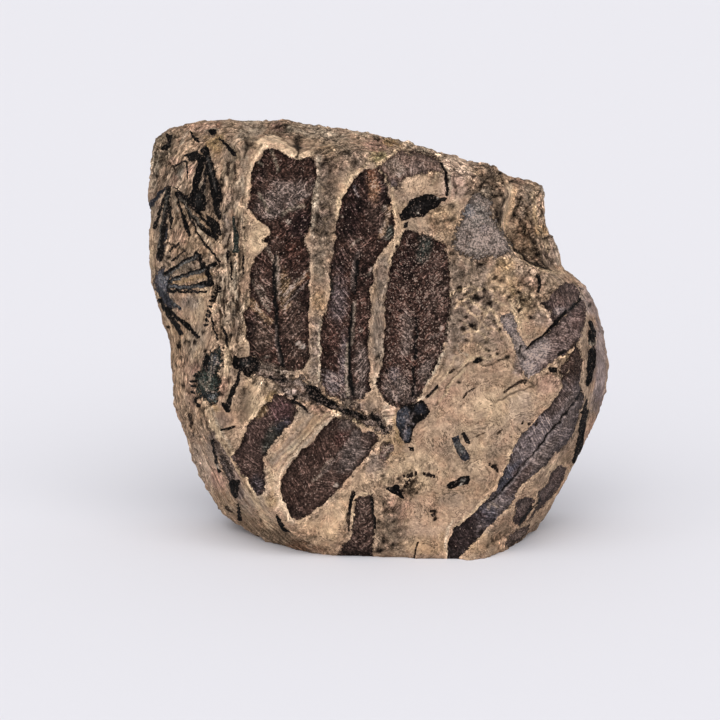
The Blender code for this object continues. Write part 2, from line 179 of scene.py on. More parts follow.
WEDGE = [
    (576, 345), (581, 350), (582, 366), (575, 372), (568, 371), (563, 377), (561, 368), (567, 360)]
NOTCH_FILM = [
    (472, 196), (480, 192), (488, 197), (492, 208), (493, 218), (497, 225), (502, 230),
    (508, 237), (511, 245), (513, 251), (503, 255), (495, 258), (485, 258), (475, 258),
    (463, 256), (455, 250), (453, 242), (456, 232), (460, 222), (464, 210)]
RACHIS = [
    (246, 362), (258, 364), (270, 370), (285, 378), (300, 377), (312, 388), (326, 398),
    (340, 405), (352, 409), (366, 415), (384, 416), (390, 430), (384, 436), (376, 426),
    (362, 424), (348, 417), (334, 411), (320, 404), (306, 396), (290, 388), (272, 382),
    (256, 376)]
PLUME = [
    (213, 352), (219, 346), (224, 352), (221, 362), (219, 374), (220, 385), (217, 392),
    (220, 400), (217, 404), (208, 403), (203, 398), (198, 393), (196, 384), (195, 376),
    (203, 368), (205, 358), (209, 352)]
HUB = [
    (157, 271), (163, 268), (170, 276), (170, 290), (168, 298), (175, 308), (170, 311),
    (161, 302), (157, 292), (154, 281)]
LEFT_GRAY = [(222, 456), (228, 462), (234, 476), (231, 482), (225, 474), (221, 464)]

# film outline, its ground tone, how much pale grit shows on it, how calm its fleck is, how
# far its edge strays in chart units, how wide its edge is torn into crumbs in millimetres
FILMS = [
    (LEAF_ONE, UMBER, 0.38, 0.0, 0.9, 2.2), (LEAF_TWO, UMBER, 0.40, 0.0, 0.9, 2.2),
    (LEAF_THREE, UMBER, 0.80, 0.0, 2.0, 3.4), (WING, tone(104, 84, 74), 0.45, 0.5, 2.0, 6.0),
    (LOWER_LEAF_A, tone(66, 51, 46), 0.22, 0.6, 1.4, 2.6), (LOWER_LEAF_B, tone(64, 49, 43), 0.22, 0.6, 0.7, 2.0),
    (OUTER_LEAF, tone(98, 87, 85), 0.10, 0.8, 0.8, 1.6), (CORNER_LEAF_UPPER, tone(88, 72, 67), 0.45, 0.5, 1.4, 2.6),
    (CORNER_LEAF_LOWER, tone(104, 88, 83), 0.45, 0.6, 1.2, 2.2), (GRAY_SCRAP, tone(142, 127, 119), 0.35, 0.9, 1.8, 3.0),
    (FOOT_LEAF, FILM_BROWN, 0.45, 0.4, 1.4, 2.6), (LOBE_ONE, tone(84, 70, 66), 0.25, 0.8, 0.9, 2.2),
    (LOBE_TWO, tone(88, 74, 69), 0.25, 0.8, 1.2, 2.2), (LOBE_THREE, tone(104, 88, 80), 0.25, 0.8, 1.2, 2.4),
    (SEED, tone(104, 84, 77), 0.50, 0.3, 1.0, 2.2), (WEDGE, FILM_BROWN, 0.40, 0.6, 1.4, 3.0),
    (NOTCH_FILM, tone(120, 108, 100), 0.40, 0.6, 4.5, 6.0), (RACHIS, tone(112, 94, 82), 1.00, 0.0, 6.0, 6.0),
    (PLUME, GREEN_SLATE, 0.55, 0.3, 4.0, 5.0), (HUB, tone(78, 75, 80), 0.10, 1.0, 3.0, 5.0),
    (LEFT_GRAY, FILM_GRAY, 0.60, 0.5, 3.0, 6.0)]
CRISP_TEAR = 3.4

# Where the edge of a film is torn softer: chart x and y, half width, half height, turn,
# width of the tear in millimetres
SOFT_EDGES = [
    (460, 310, 12, 60, 8, 9.0), (452, 372, 14, 34, 25, 7.0), (322, 250, 7, 60, 0, 4.5),
    (390, 330, 6, 60, 0, 4.0), (331, 340, 6, 50, 0, 4.5), (420, 236, 24, 8, 0, 6.0),
    (332, 400, 30, 8, 10, 5.0), (282, 366, 26, 7, 0, 6.0), (395, 400, 20, 8, 0, 5.0),
    (300, 395, 20, 8, 0, 5.0), (384, 428, 8, 24, 0, 6.0), (310, 250, 5, 30, 0, 4.0)]

# Midribs: the line from the tip to the stalk, and how the side veins run from it.
# A vein leaves the midrib at this slope, and the next one starts this far on.
MIDRIBS = [
    (LEAF_ONE, [(272, 150), (276, 200), (275, 255), (275, 300), (278, 345), (283, 366)], 0.9, 1.15),
    (LEAF_TWO, [(372, 170), (364, 220), (357, 262), (352, 310), (349, 360), (354, 395)], 1.1, 1.10),
    (LEAF_THREE, [(410, 232), (411, 270), (416, 318), (416, 345), (413, 395)], 0.9, 1.10),
    (LOWER_LEAF_A, [(290, 398), (262, 445), (256, 492)], 0.5, 1.00),
    (LOWER_LEAF_B, [(360, 425), (340, 452), (318, 478), (292, 516)], 0.5, 1.00),
    (OUTER_LEAF, [(583, 366), (566, 413), (535, 451), (489, 503), (452, 556)], 0.45, 0.95),
    (CORNER_LEAF_LOWER, [(582, 297), (553, 325), (526, 351)], 0.7, 1.00),
    (CORNER_LEAF_UPPER, [(582, 297), (553, 325), (526, 351)], 0.7, 1.00),
    (FOOT_LEAF, [(364, 495), (362, 520), (356, 556)], 0.9, 1.00),
    (LOBE_ONE, [(534, 499), (517, 524)], 0.6, 0.90), (LOBE_TWO, [(562, 468), (528, 521)], 0.6, 0.90),
    (WING, [(440, 166), (410, 162), (384, 172)], 0.3, 1.20)]

# Black scraps of plant: outline, tone
SCRAPS = [
    ([(400, 215), (404, 208), (410, 201), (418, 198), (426, 195), (433, 195.5), (440, 198),
      (440, 203), (437, 207), (430, 211), (424, 216), (414, 217), (405, 220), (401, 221)], COAL),
    ([(403, 223), (408, 222), (408, 227), (404, 228)], COAL),
    ([(440, 197), (447, 199), (446, 202), (440, 201)], SOOT),
    ([(396, 413), (402, 407), (418, 402.5), (422.5, 400), (427, 405), (431.5, 412),
      (426, 417.5), (416.5, 423), (412, 433.5), (410, 444), (405, 444), (400.5, 436),
      (396, 425.5)], COAL),
    ([(409, 447), (413, 448), (413, 452), (409, 450)], COAL),
    ([(451, 438.5), (458.5, 436), (461, 443), (469, 454.5), (470, 459), (464, 463),
      (457.5, 451), (454, 444)], SLATE),
    ([(461, 434), (464, 431.5), (469, 441), (470.5, 444), (466, 443), (464, 440)], SOOT),
    ([(445, 485), (450.5, 483), (460, 477.5), (469, 475), (470, 480), (468, 484.5),
      (457.5, 485.5), (450.5, 488.5)], COAL),
    ([(385, 489), (395, 484), (398, 485), (402, 493), (405, 500), (402, 499), (392.5, 493)], COAL),
    ([(233, 356), (240, 358), (250, 357), (258, 359), (261, 364), (259, 370), (253, 372),
      (250, 377), (246, 375), (242, 370), (236, 369), (232, 364)], COAL),
    ([(185, 156), (198, 150), (201, 156), (200, 160), (190, 161)], SOOT),
    ([(191, 190), (198, 186), (204, 192), (208, 202), (207, 211), (198, 212), (191, 208),
      (189, 199)], COAL),
    ([(213, 199), (219, 201), (220, 208), (223, 216), (220, 221), (216, 214), (213, 208)], SOOT),
    ([(206, 214), (214, 218), (220, 226), (222, 236), (216, 232), (209, 224)], SOOT),
    ([(160, 262), (158, 250), (161, 236), (164, 227), (168, 229), (166, 242), (163, 256)], SLATE),
    ([(240, 480), (238, 492), (236, 500), (231, 492), (229, 482), (232, 479)], SOOT),
    ([(276, 514), (280, 519), (284, 527), (292, 533), (286, 532), (278, 524)], COAL),
    ([(304, 385), (311, 385), (319, 387), (322, 394), (329, 401), (337, 408), (331, 409), (322, 403),
      (313, 399), (306, 393)], COAL),
    ([(339, 409), (346, 408), (353, 410), (364, 415), (368, 420), (360, 420), (350, 415), (341, 413)], COAL),
    ([(370, 414), (377, 416), (383, 423), (389, 434), (384, 431), (377, 423), (371, 419)], COAL),
    ([(293, 396), (297, 395), (298, 399), (294, 400)], SOOT),
    ([(279, 374), (284, 376), (288, 380), (283, 381)], SOOT),
    ([(166, 133), (173, 136), (171, 145), (167, 151), (163, 149), (167, 141)], SOOT),
    ([(208, 130), (218, 131), (217, 134), (211, 134)], COAL),
    ([(478, 358), (481, 361), (477, 364), (472, 361)], COAL),
    ([(548, 368), (556, 367), (557, 372), (550, 372)], SOOT)]

# Dark grooves: the line, half width at its start and at its end, tone
GROOVES = [
    # midribs of the leaves
    ([(275, 255), (275.5, 270), (275, 285), (274.5, 300), (276, 315), (277, 330), (278.5, 345),
      (281, 360), (283, 366)], 1.5, 2.0, COAL),
    ([(357, 262), (356, 280), (354, 293)], 1.8, 1.0, COAL),
    ([(353, 305), (351, 325), (349.5, 340), (349, 360), (350, 375), (351, 388), (354, 395)],
     1.3, 1.5, COAL),
    ([(416, 318), (417, 330), (416, 345), (415, 358)], 1.0, 1.2, COAL),
    ([(414, 367), (414, 380), (413, 395)], 1.2, 1.0, COAL),
    ([(489.5, 503), (499, 494), (510, 481), (524, 466), (535.5, 451), (548, 434), (555, 427),
      (566.5, 413), (576, 402), (583, 390)], 0.6, 0.4, COAL),
    ([(527, 349), (531, 344), (537, 340), (543, 336), (549, 329), (555, 324), (560, 318),
      (566, 312), (572, 308), (578, 302), (581, 298)], 0.9, 1.1, COAL),
    ([(549, 330), (556, 322)], 1.9, 1.9, COAL),
    # cracks and ticks
    ([(441, 163), (446, 172), (447, 195)], 1.0, 1.4, COAL),
    ([(427, 397), (434, 389), (438, 386)], 1.1, 0.9, SOOT),
    ([(470, 391), (477, 387)], 0.7, 0.5, DARK_BROWN),
    ([(463, 397), (470, 391)], 1.0, 0.7, DARK_BROWN),
    ([(449, 373), (455, 369)], 0.8, 0.6, DARK_BROWN),
    ([(505, 392), (512, 386), (520, 382), (526, 381)], 0.8, 1.6, DARK_BROWN),
    ([(497, 434), (502, 430)], 0.9, 0.6, DARK_BROWN),
    ([(417, 543), (414, 558)], 0.8, 0.8, DEEP_BROWN),
    ([(538, 276), (539, 283), (538, 291)], 1.5, 1.2, SOOT),
    ([(477, 437), (486, 432)], 0.5, 0.4, BROWN)]

# Black strands that stand on the stone: the line, half widths, tone
STRANDS = [
    # lower whorl
    ([(165, 274), (185, 262), (199, 255)], 1.9, 2.2, COAL),
    ([(169, 281), (186, 275), (205, 269), (216, 264)], 1.9, 2.0, COAL),
    ([(168, 287), (190, 287), (212, 283)], 1.8, 2.7, COAL),
    ([(169, 291), (186, 292), (206, 292)], 1.0, 1.2, SOOT),
    ([(197, 254), (204, 267), (212, 282)], 2.3, 2.0, COAL),
    ([(159, 290), (170, 302), (181, 309)], 2.6, 1.0, SLATE),
    ([(160, 300), (170, 316), (181, 333)], 1.8, 2.4, SOOT),
    ([(168, 308), (178, 318), (190, 328)], 1.2, 2.4, COAL),
    ([(186, 322), (193, 331), (199, 337)], 0.9, 1.4, COAL),
    ([(173, 260), (186, 250)], 1.3, 0.6, SOOT),
    ([(170, 251), (179, 243)], 1.3, 0.8, SOOT),
    # upper whorl
    ([(165, 188), (157, 197), (148, 209)], 1.2, 2.4, SLATE),
    ([(167, 190), (160, 212), (155, 228)], 1.2, 1.4, SOOT),
    ([(169, 188), (166, 210), (163, 232), (160, 258)], 2.0, 2.8, SOOT),
    ([(170, 207), (171, 218), (171, 228)], 1.0, 1.6, SOOT),
    ([(176, 193), (180, 205), (184, 218), (189, 235)], 0.8, 2.0, COAL),
    ([(178, 193), (190, 212), (203, 228), (216, 239)], 1.3, 1.9, COAL),
    ([(180, 194), (194, 208), (208, 224), (217, 236)], 0.8, 1.5, COAL),
    ([(188, 213), (200, 236), (210, 250), (221, 262)], 0.7, 1.1, SOOT),
    ([(176, 188), (186, 197), (196, 209)], 0.6, 1.0, SOOT),
    ([(205, 150), (211, 172), (218, 197)], 3.4, 5.0, COAL),
    ([(202, 158), (199, 172), (196, 188), (195, 206)], 3.0, 3.6, COAL),
    ([(206, 168), (205, 182), (200, 196)], 0.8, 1.6, SOOT),
    ([(172, 166), (186, 162)], 0.9, 0.7, SOOT),
    ([(187, 163), (187, 178)], 0.8, 0.6, SOOT),
    ([(172, 166), (176, 172)], 0.7, 0.4, DARK_BROWN),
    ([(220, 138), (227, 146), (235, 155)], 0.8, 2.0, COAL),
    ([(190, 133), (198, 141)], 0.8, 1.5, COAL),
    ([(165, 243), (176, 245)], 0.7, 0.5, DARK_BROWN),
    ([(229, 163), (229, 176)], 1.6, 1.0, DARK_BROWN),
    ([(235, 163), (236, 178)], 1.0, 0.7, DARK_BROWN),
    # wrinkled edge
    ([(233, 217), (236, 236), (236, 250)], 1.2, 2.6, GREEN_SLATE),
    ([(229, 251), (227, 262)], 1.4, 0.8, COAL),
    ([(231, 262), (232, 280)], 1.0, 0.7, COAL),
    ([(244, 256), (243, 275)], 0.9, 0.7, COAL),
    ([(212, 318), (215, 331), (218, 340)], 0.7, 0.9, SOOT),
    ([(222, 325), (226, 335), (227, 346)], 0.8, 1.6, SOOT),
    ([(224, 300), (225, 318)], 0.8, 0.5, DARK_BROWN),
    ([(237, 300), (238, 312)], 0.7, 0.5, DARK_BROWN),
    ([(230, 235), (227, 247)], 0.6, 0.9, DARK_BROWN),
    ([(207, 357), (206, 370)], 1.8, 1.2, COAL),
    ([(240, 370), (237, 384), (229, 398), (228, 410)], 1.2, 3.0, SOOT),
    # foot of the left facet
    ([(220, 430), (227, 429), (234, 427)], 1.0, 1.2, COAL),
    ([(213, 441), (215, 452), (217, 462), (220, 472)], 1.4, 1.0, SOOT),
    ([(189, 415), (192, 425), (194, 435)], 1.8, 0.8, DARK_BROWN),
    ([(238, 504), (240, 519)], 1.0, 1.8, SOOT),
    ([(226, 508), (232, 512)], 1.6, 1.0, DARK_BROWN),
    ([(195, 401), (200, 406)], 1.6, 1.4, COAL),
    ([(223, 404), (227, 411)], 1.8, 1.4, COAL),
    # stalk of the fern, with the scraps that follow it
    ([(325, 399), (337, 407)], 1.8, 1.5, COAL),
    ([(340, 411), (350, 414)], 1.2, 1.2, COAL),
    ([(350, 413), (365, 419)], 1.8, 1.3, COAL),
    ([(372, 413), (378, 422)], 1.4, 1.4, SOOT),
    ([(380, 421), (388, 433)], 1.5, 1.5, COAL),
    ([(292, 401), (303, 407), (310, 414)], 1.8, 0.8, SOOT),
    ([(270, 378), (284, 381)], 1.6, 1.4, SOOT),
    # foot leaf, stem of the right edge
    ([(354, 492), (352, 498), (350, 507), (350, 516)], 1.5, 1.2, COAL),
    ([(349, 516), (348, 530)], 1.4, 0.8, DARK_BROWN),
    ([(372, 498), (373, 512), (376, 528)], 1.2, 1.0, COAL),
    ([(587, 400), (584, 407)], 1.0, 1.3, SOOT),
    ([(585, 411), (582, 426)], 3.0, 3.0, SOOT),
    ([(582, 428), (579, 449)], 2.6, 3.2, SOOT),
    ([(577, 451), (574, 461)], 2.8, 2.0, SOOT),
    ([(590, 322), (592, 330)], 1.2, 2.2, COAL),
    ([(592, 333), (592, 343)], 3.8, 3.2, COAL),
    ([(592, 351), (591, 366)], 4.2, 3.6, COAL),
    ([(590, 369), (588, 384)], 3.4, 2.4, COAL),
    ([(558, 355), (566, 350)], 0.9, 0.9, COAL),
    ([(521, 346), (519, 352), (524, 358)], 0.9, 0.6, SOOT),
    ([(520, 524), (532, 508), (540, 500)], 0.6, 0.8, SOOT)]

# A chain of small black joints, the crossbars of the plume and other short repeats:
# first place, last place, how many, half width, tone
CHAINS = [
    ((220, 287), (214, 297), 4, 2.4, COAL), ((212, 301), (209, 312), 3, 2.2, COAL),
    ((208, 316), (206, 325), 3, 2.0, SOOT), ((197, 376), (192, 392), 4, 1.5, SOOT),
    ((196, 399), (201, 404), 2, 1.6, COAL), ((424, 474), (434, 477), 4, 0.9, DEEP_BROWN),
    ((404, 476), (416, 474), 4, 1.0, DEEP_BROWN), ((403, 490), (410, 480), 4, 1.0, DEEP_BROWN),
    ((431, 511), (436, 519), 3, 1.1, DEEP_BROWN), ((490, 464), (498, 470), 4, 0.9, DEEP_BROWN),
    ((536, 425), (523, 423), 3, 0.9, DEEP_BROWN)]

# Soft spots of tone on the stone: chart x and y, half width, half height, turn in
# degrees, tone, strength
STONE_SPOTS = [
    (280, 129, 13, 6, -20, tone(62, 54, 46), 0.7), (298, 146, 5, 12, 10, tone(54, 44, 37), 0.8),
    (247, 146, 6, 14, 10, tone(74, 64, 55), 0.6), (381, 147, 9, 6, 20, tone(112, 84, 72), 0.6),
    (438, 520, 34, 28, 0, tone(182, 152, 130), 0.6), (470, 385, 30, 12, 0, tone(154, 128, 108), 0.5),
    (208, 462, 12, 30, -25, tone(172, 150, 130), 0.6), (395, 525, 10, 24, 0, tone(120, 100, 84), 0.4),
    (260, 503, 18, 26, -30, tone(180, 156, 132), 0.8), (457, 325, 18, 46, 0, tone(120, 106, 96), 0.7),
    (482, 330, 26, 34, 0, tone(126, 110, 99), 0.6), (175, 220, 28, 70, 0, tone(118, 106, 94), 0.4),
    # upper left corner
    (161, 150, 14, 24, 10, OLIVE_GRAY, 0.8), (153, 168, 5, 26, 0, LIGHT_GRAY_TAN, 0.6),
    (164, 160, 4, 6, 0, DARK_BROWN, 0.7), (203, 128, 14, 5, 0, PINK_TAN, 0.8),
    (219, 124, 5, 3, 0, RUST, 0.6), (217, 144, 12, 12, 0, OCHRE, 0.8),
    (232, 152, 5, 9, -30, OLIVE, 0.6), (252, 128, 16, 11, -30, LIGHT_GRAY_TAN, 0.7),
    (252, 142, 8, 4, -40, DARK_BROWN, 0.6), (287, 130, 10, 6, 10, DEEP_BROWN, 0.8),
    (297, 140, 5, 10, 5, DEEP_BROWN, 0.8), (306, 141, 10, 6, 20, BROWN, 0.5), (276, 128, 8, 6, 0, ROSE, 0.5),
    (175, 162, 8, 4, 0, PINK_TAN, 0.8), (174, 180, 4, 8, 20, PINK_TAN, 0.8),
    (181, 171, 6, 8, 0, GREEN_GRAY, 0.9), (190, 172, 6, 8, 0, PINK_TAN, 0.6),
    (151, 206, 5, 8, 0, OLIVE_GRAY, 0.7), (151, 245, 5, 36, 0, PALE_TAN, 0.7),
    (190, 232, 28, 32, 0, WARM_TAN, 0.5), (228, 150, 8, 14, 0, GRAY_TAN, 0.5),
    (229, 172, 8, 13, 0, OLIVE_GRAY, 0.6), (203, 192, 3, 14, -15, LIGHT_GRAY_TAN, 0.7),
    (178, 236, 10, 9, 20, PINK_TAN, 0.4), (213, 238, 9, 12, 20, PALE_TAN, 0.5),
    (206, 232, 6, 8, 0, OLIVE_GRAY, 0.5), (226, 205, 7, 22, 0, GRAY_TAN, 0.6),
    (241, 195, 7, 40, 8, LIGHT_GRAY_TAN, 0.6),
    (208, 184, 13, 30, -15, tone(62, 52, 46), 0.65), (198, 206, 15, 14, 0, tone(64, 54, 48), 0.6),
    (166, 222, 5, 24, 8, tone(86, 76, 68), 0.5), (190, 268, 22, 9, -18, tone(116, 104, 92), 0.5),
    # top band
    (318, 133, 30, 8, 8, LIGHT_GRAY_TAN, 0.6), (338, 147, 18, 10, 0, OLIVE_GRAY, 0.6),
    (352, 162, 16, 12, -30, FILM_GRAY, 0.45), (378, 156, 10, 8, 0, OLIVE, 0.85),
    (375, 146, 14, 6, 5, ROSE, 0.7), (376, 139, 5, 3, 0, DEEP_BROWN, 0.8),
    (392, 143, 11, 4, 10, OCHRE, 0.7), (420, 149, 22, 4, 18, LIGHT_GRAY_TAN, 0.6),
    (365, 133, 20, 5, 10, LIGHT_GRAY_TAN, 0.6), (327, 150, 9, 8, 0, OCHRE, 0.35),
    (457, 168, 18, 12, 10, tone(200, 174, 152), 0.85), (455, 186, 14, 16, 0, tone(198, 168, 150), 0.8),
    (470, 162, 5, 6, 0, BROWN, 0.4), (478, 170, 9, 7, 0, BROWN, 0.6),
    (490, 183, 13, 9, 30, DEEP_BROWN, 0.6), (497, 200, 9, 8, 40, DARK_BROWN, 0.6),
    (484, 195, 10, 7, 0, GREEN_GRAY, 0.5), (505, 181, 9, 5, 10, WARM_TAN, 0.5),
    (520, 181, 9, 5, 10, PINK_TAN, 0.5),
    (421, 187, 19, 10, 0, tone(196, 166, 138), 0.85), (258, 237, 11, 15, 20, tone(202, 174, 142), 0.85),
    (446, 400, 24, 12, 0, tone(178, 150, 124), 0.7), (470, 394, 16, 8, -20, tone(178, 150, 126), 0.6),
    # strips between the leaves
    (323, 205, 14, 62, 0, tone(110, 95, 83), 0.95), (320, 236, 7, 10, 0, tone(138, 118, 100), 0.6),
    (320, 262, 8, 22, 0, tone(120, 106, 92), 0.6), (319, 302, 8, 12, 0, tone(168, 136, 104), 0.8), (320, 280, 8, 5, 0, tone(94, 86, 74), 0.6),
    (316, 321, 7, 6, 0, FILM_GRAY, 0.7), (316, 345, 6, 22, 0, tone(130, 112, 101), 0.85),
    (330, 187, 7, 18, 15, BROWN, 0.35), (344, 190, 4, 26, 20, PALE_TAN, 0.7),
    (316, 372, 8, 16, 0, GRAY_TAN, 0.7), (398, 232, 6, 18, 20, PALE_TAN, 0.6),
    (382, 280, 6, 30, 5, GRAY_TAN, 0.8), (379, 330, 7, 36, 0, GRAY_TAN, 0.9),
    (392, 212, 4, 16, -10, WARM_TAN, 0.7), (377, 378, 5, 10, 0, LIGHT_GRAY_TAN, 0.5),
    # upper right, notch and the block behind it
    (446, 225, 16, 18, 0, WARM_TAN, 0.75), (436, 212, 12, 8, 0, WARM_TAN, 0.7),
    (455, 208, 8, 14, 0, PALE_TAN, 0.4), (434, 180, 4, 7, 0, BROWN, 0.7),
    (470, 209, 5, 14, 15, BLUE_GRAY, 0.4), (508, 208, 4, 19, 10, PALE_TAN, 0.95),
    (524, 198, 10, 20, 10, tone(138, 118, 102), 0.8), (541, 190, 7, 9, 0, BROWN, 0.5),
    (538, 212, 9, 22, 0, tone(186, 158, 132), 0.9), (541, 231, 8, 6, 0, tone(196, 158, 116), 0.9),
    (522, 200, 9, 16, 15, tone(150, 130, 112), 0.9), (520, 240, 12, 13, 30, tone(126, 102, 82), 0.9),
    (534, 256, 12, 9, 30, tone(104, 84, 68), 0.8), (499, 218, 7, 9, 20, DEEP_BROWN, 0.85),
    # The second spot of this row, deep brown behind the front layer's arc: painted shadow.
    (551, 252, 8, 17, 0, tone(166, 142, 124), 0.9), (543, 268, 9, 4, 20, DEEP_BROWN, 0.8),
    # right of the leaves
    (474, 292, 34, 44, 0, tone(134, 115, 100), 0.75),
    (505, 266, 10, 8, 20, tone(204, 170, 128), 0.9), (514, 286, 9, 12, 0, tone(190, 158, 118), 0.8), (500, 270, 5, 6, 0, BROWN, 0.6),
    (460, 268, 14, 12, 0, tone(128, 112, 98), 0.5), (455, 300, 14, 26, 0, tone(126, 108, 94), 0.5),
    (502, 278, 14, 16, 0, tone(186, 156, 122), 0.6),
    (485, 335, 22, 14, 0, tone(132, 114, 98), 0.5), (530, 284, 18, 12, 0, PINK_TAN, 0.4),
    (526, 300, 8, 16, 20, OLIVE, 0.35), (542, 318, 14, 10, 0, LILAC_GRAY, 0.4),
    (515, 330, 10, 14, 0, PALE_TAN, 0.5), (452, 345, 10, 22, 15, tone(130, 112, 98), 0.6),
    (470, 350, 18, 10, 0, WARM_TAN, 0.5), (520, 362, 6, 16, 15, LILAC_GRAY, 0.6),
    (566, 355, 10, 8, -40, WARM_TAN, 0.8), (548, 384, 12, 11, 0, PINK_TAN, 0.9),
    (600, 366, 7, 56, 0, tone(146, 130, 125), 0.95), (590, 302, 9, 20, -30, tone(146, 130, 124), 0.8),
    (597, 395, 6, 20, 10, LILAC_GRAY, 0.6), (575, 290, 14, 5, 30, LIGHT_GRAY_TAN, 0.4),
    (590, 432, 6, 20, 20, PINK_TAN, 0.6), (574, 470, 5, 14, 25, PALE_TAN, 0.7),
    (552, 470, 10, 7, -40, PALE_TAN, 0.4), (567, 455, 7, 8, 0, BROWN, 0.5),
    # the smooth lower face
    (455, 420, 60, 55, 0, TAN, 0.5), (440, 395, 22, 12, -40, PINK_TAN, 0.4),
(500, 405, 26, 20, 0, PALE_TAN, 0.5), (520, 410, 14, 18, 20, LILAC_GRAY, 0.3),
    (420, 470, 24, 22, 0, PALE_TAN, 0.5), (452, 460, 14, 10, 0, OLIVE_GRAY, 0.25),
    (410, 487, 14, 12, 40, BROWN, 0.45), (395, 508, 14, 12, 0, ROSE, 0.4),
    (387, 530, 12, 22, 10, tone(112, 96, 82), 0.75), (398, 518, 10, 12, 0, DARK_BROWN, 0.25),
    (376, 468, 10, 12, 0, LILAC_GRAY, 0.4), (336, 518, 14, 26, 25, tone(184, 155, 126), 0.8),
    (320, 532, 24, 14, 10, tone(182, 152, 122), 0.8), (344, 538, 6, 14, 0, BROWN, 0.4),
    (440, 510, 26, 22, 0, WARM_TAN, 0.35), (437, 512, 8, 14, 0, BROWN, 0.35),
    (430, 545, 26, 12, 0, OCHRE, 0.35), (475, 450, 20, 30, 0, PALE_TAN, 0.3),
    (480, 545, 18, 10, -30, WARM_TAN, 0.7), (500, 530, 14, 10, -40, BROWN, 0.4),
    (450, 500, 12, 8, 0, GRAY_TAN, 0.4), (385, 475, 12, 8, 0, PALE_TAN, 0.5),
    # pocket, crescent and the ground between the lower leaves
    (257, 398, 16, 24, 20, PALE_TAN, 0.9), (262, 384, 6, 5, 0, tone(206, 180, 152), 0.8),
    # The first spot of this row, dark olive at the left of the pocket: painted shadow.
    (244, 407, 8, 18, 5, tone(106, 89, 74), 0.85), (271, 397, 6, 8, 0, OCHRE, 0.8),
    (275, 372, 22, 8, 10, STONE_GRAY, 0.7), (297, 392, 16, 9, 15, LILAC_GRAY, 0.6),
    (300, 412, 12, 8, 0, GRAY_TAN, 0.6), (325, 412, 14, 8, 30, PINK_TAN, 0.6),
    (310, 428, 22, 10, -40, WARM_TAN, 0.8), (288, 452, 20, 8, -40, LIGHT_GRAY_TAN, 0.7),
    (283, 462, 12, 6, -40, PINK_TAN, 0.7), (275, 486, 6, 20, -10, PALE_TAN, 0.7),
    (272, 500, 9, 10, 0, OCHRE, 0.5), (280, 512, 8, 8, 0, PINK_TAN, 0.5),
    (250, 440, 10, 10, 0, WARM_TAN, 0.6), (387, 414, 6, 12, 0, LIGHT_GRAY_TAN, 0.7),
    (401, 404, 10, 5, -10, PINK_TAN, 0.9), (391, 411, 4, 8, 20, PINK_TAN, 0.9),
    (367, 408, 12, 7, 10, FILM_GRAY, 0.5), (352, 404, 12, 5, 10, STONE_GRAY, 0.6),
    (395, 447, 12, 16, 0, OCHRE, 0.35),
    # left facet
    (205, 305, 12, 22, 20, PALE_TAN, 0.7), (190, 303, 14, 7, 0, STONE_GRAY, 0.7),
    (178, 268, 18, 6, -30, OLIVE_GRAY, 0.5), (190, 277, 18, 3, -8, WARM_TAN, 0.7),
    (180, 340, 12, 22, -15, WARM_TAN, 0.8), (195, 345, 12, 18, 0, LIGHT_GRAY_TAN, 0.4),
    (178, 370, 8, 34, -8, WARM_TAN, 0.6), (189, 380, 8, 34, -10, PINK_TAN, 0.4),
    (228, 232, 6, 26, 0, STONE_GRAY, 0.5), (228, 290, 14, 40, 0, LIGHT_GRAY_TAN, 0.5),
    (245, 328, 6, 30, 0, PALE_TAN, 0.6), (237, 320, 8, 20, 0, STONE_GRAY, 0.4),
    (227, 362, 4, 24, 0, PALE_TAN, 0.9), (222, 392, 5, 14, 10, PINK_TAN, 0.8),
    (197, 358, 5, 14, 20, PALE_TAN, 0.7), (196, 368, 6, 7, 20, ROSE, 0.7),
    (206, 410, 10, 8, 0, WARM_TAN, 0.6), (190, 420, 8, 16, -20, BROWN, 0.4),
    (222, 421, 10, 9, 0, FILM_GRAY, 0.7), (213, 408, 8, 4, 0, OCHRE, 0.6),
    (205, 468, 11, 26, -25, tone(186, 162, 142), 0.85), (220, 482, 8, 14, -30, ROSE, 0.7),
    (212, 446, 6, 14, -20, tone(156, 138, 124), 0.6), (236, 462, 5, 20, -30, PALE_TAN, 0.6),
    (250, 505, 14, 16, -35, GRAY_TAN, 0.6), (238, 512, 18, 8, 25, OLIVE_GRAY, 0.5),
    (285, 538, 30, 9, 22, tone(106, 89, 72), 0.8), (250, 522, 24, 8, 28, tone(112, 94, 76), 0.7), (226, 498, 12, 8, 35, WARM_TAN, 0.5),
    (300, 546, 14, 6, 15, RUST, 0.45), (318, 549, 10, 4, 10, RUST, 0.4),
    (262, 518, 14, 6, 50, WARM_TAN, 0.5)]

